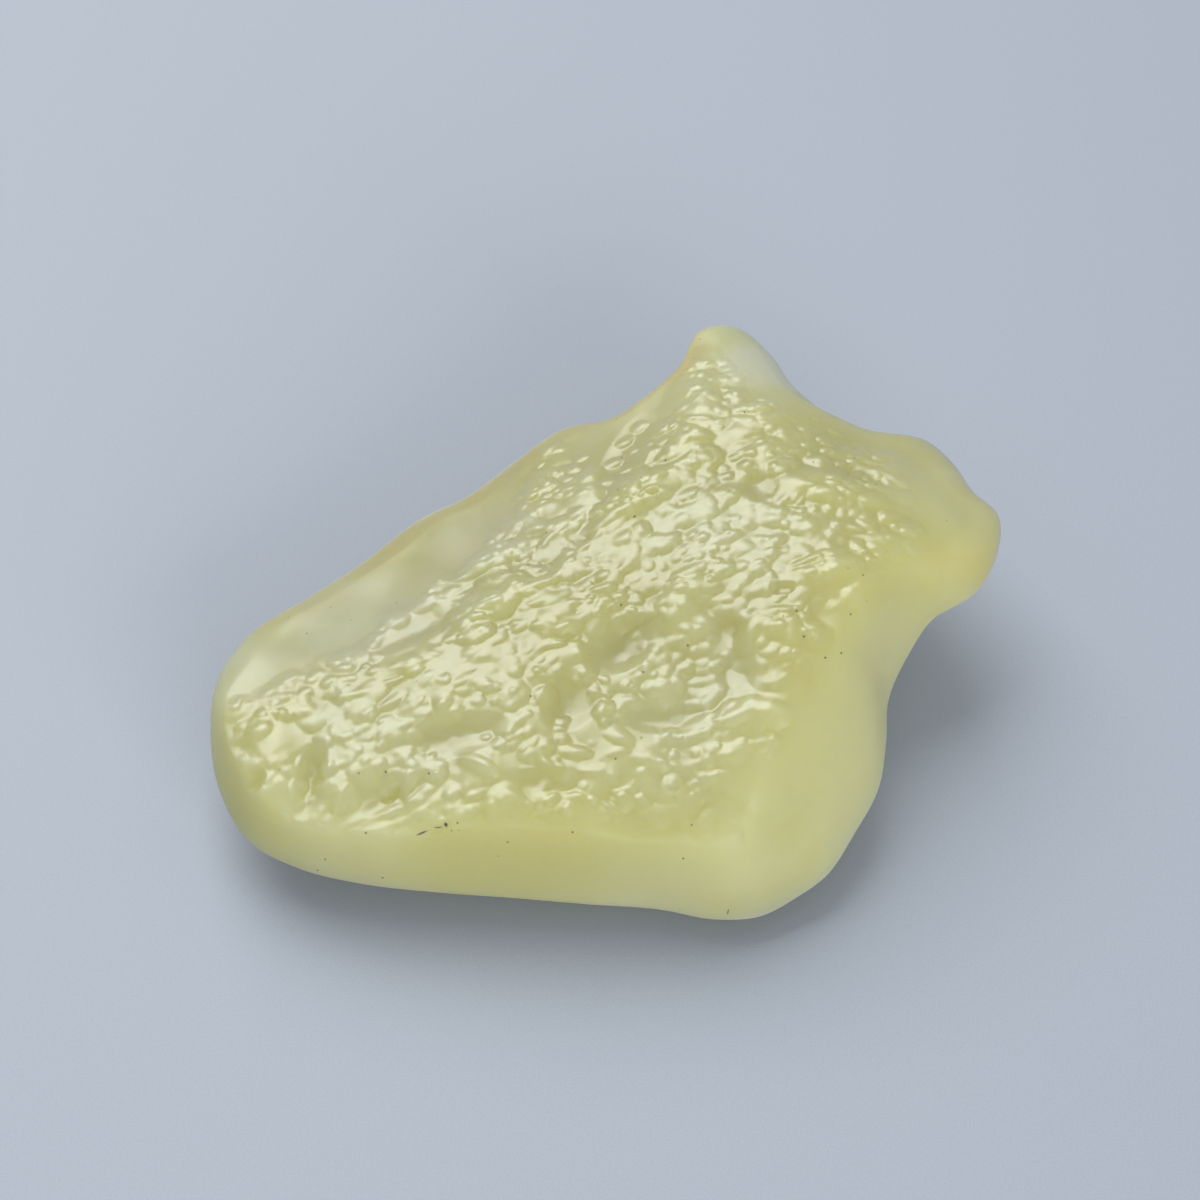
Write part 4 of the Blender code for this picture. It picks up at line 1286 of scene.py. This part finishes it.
def floor_material(stage):
    """Pale satin board with a very fine grain."""
    tree = NodeTree("floor")
    speckle = tree.stretch(tree.noise(GRAIN_SCALE), *SHEEN_BAND)
    darker = opaque(FLOOR_SHADE * part for part in stage.floor_colour)
    colour = tree.blend(speckle, darker, opaque(stage.floor_colour))
    tree.feed(tree.shader.inputs["Base Color"], colour)
    tree.shader.inputs["Roughness"].default_value = FLOOR_ROUGHNESS
    tree.grain(tree.noise(GRAIN_SCALE), FLOOR_GRAIN_DEPTH)
    return tree.material


def shown(name, data):
    obj = bpy.data.objects.new(name, data)
    bpy.context.scene.collection.objects.link(obj)
    return obj


def soft_light(name, turn, rise, distance, size, power):
    """A square lamp at an angle round and above the stone, facing it."""
    lamp = bpy.data.lights.new(name, "AREA")
    lamp.shape = "SQUARE"
    lamp.size = size
    lamp.energy = power
    lamp.color = LAMP_COLOUR
    obj = shown(name, lamp)
    outward = Vector((math.sin(turn) * math.cos(rise), math.cos(turn) * math.cos(rise), math.sin(rise)))
    obj.location = outward * distance
    obj.rotation_euler = (-outward).to_track_quat("-Z", "Y").to_euler()
    return obj


def make_stone(scene):
    stone = shown("glass_stone", stone_mesh(scene.desert_glass_sizes))
    stone.data.materials.append(glass_material(scene.desert_glass_finish))
    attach(stone, "root")
    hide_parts(NODE)


def make_floor(stage):
    half = stage.floor_size / 2
    mesh = bpy.data.meshes.new("floor")
    corners = [(-half, -half, 0), (half, -half, 0), (half, half, 0), (-half, half, 0)]
    mesh.from_pydata(corners, [], [(0, 1, 2, 3)])
    mesh.materials.append(floor_material(stage))
    shown("floor", mesh)


def make_lights(scene, stage):
    window = (stage.window_turn, stage.window_rise, WINDOW_DISTANCE)
    soft_light("window", *window, stage.window_size, stage.window_power)
    fill = (stage.fill_turn, stage.fill_rise, FILL_DISTANCE)
    soft_light("fill", *fill, FILL_SIZE, stage.fill_power).visible_glossy = False
    room = bpy.data.worlds.new("room")
    room.use_nodes = True
    background = room.node_tree.nodes["Background"]
    background.inputs["Color"].default_value = opaque(ROOM_COLOUR)
    background.inputs["Strength"].default_value = stage.ambient
    scene.world = room


def make_camera(scene, stage):
    data = bpy.data.cameras.new("camera")
    data.lens = stage.focal_length
    data.clip_start = 10 * MM
    camera = shown("camera", data)
    rise = stage.view_rise
    back = Vector((0.0, -math.cos(rise), math.sin(rise)))
    camera.location = Vector(stage.view_point) + stage.view_distance * back
    camera.rotation_euler = (math.pi / 2 - rise, 0.0, 0.0)
    scene.camera = camera
    scene.view_settings.view_transform = "Standard"


class BuildStone(bpy.types.Operator):
    """Build the stone with its fine surface and its glass"""

    bl_idname = "desert_glass.build_stone"
    bl_label = "Build Stone"
    bl_options = {"REGISTER", "UNDO"}

    def execute(self, context):
        make_stone(context.scene)
        return {"FINISHED"}


class SetStage(bpy.types.Operator):
    """Set up the floor, the lights and the camera"""

    bl_idname = "desert_glass.set_stage"
    bl_label = "Set Stage"
    bl_options = {"REGISTER", "UNDO"}

    def execute(self, context):
        scene = context.scene
        stage = scene.desert_glass_stage
        make_floor(stage)
        make_lights(scene, stage)
        make_camera(scene, stage)
        return {"FINISHED"}


class DesertGlassPanel(bpy.types.Panel):
    """Sizes, colours and the steps that build the stone"""

    bl_idname = "VIEW3D_PT_desert_glass"
    bl_label = "Desert Glass"
    bl_space_type = "VIEW_3D"
    bl_region_type = "UI"
    bl_category = "Desert Glass"

    def draw(self, context):
        scene = context.scene
        for operator, group in (
            (BuildStone, scene.desert_glass_sizes),
            (BuildStone, scene.desert_glass_finish),
            (SetStage, scene.desert_glass_stage),
        ):
            column = self.layout.column(align=True)
            for name in group.__annotations__:
                column.prop(group, name)
            column.operator(operator.bl_idname)


GROUPS = {
    "desert_glass_sizes": StoneSizes,
    "desert_glass_finish": GlassFinish,
    "desert_glass_stage": StageSettings,
}
CLASSES = (*GROUPS.values(), BuildStone, SetStage, DesertGlassPanel)


def register():
    for cls in CLASSES:
        bpy.utils.register_class(cls)
    for name, group in GROUPS.items():
        setattr(bpy.types.Scene, name, bpy.props.PointerProperty(type=group))


def unregister():
    for name in GROUPS:
        delattr(bpy.types.Scene, name)
    for cls in reversed(CLASSES):
        bpy.utils.unregister_class(cls)


def main():
    register()
    bpy.ops.desert_glass.build_stone()
    bpy.ops.desert_glass.set_stage()


if __name__ == "__main__":
    main()
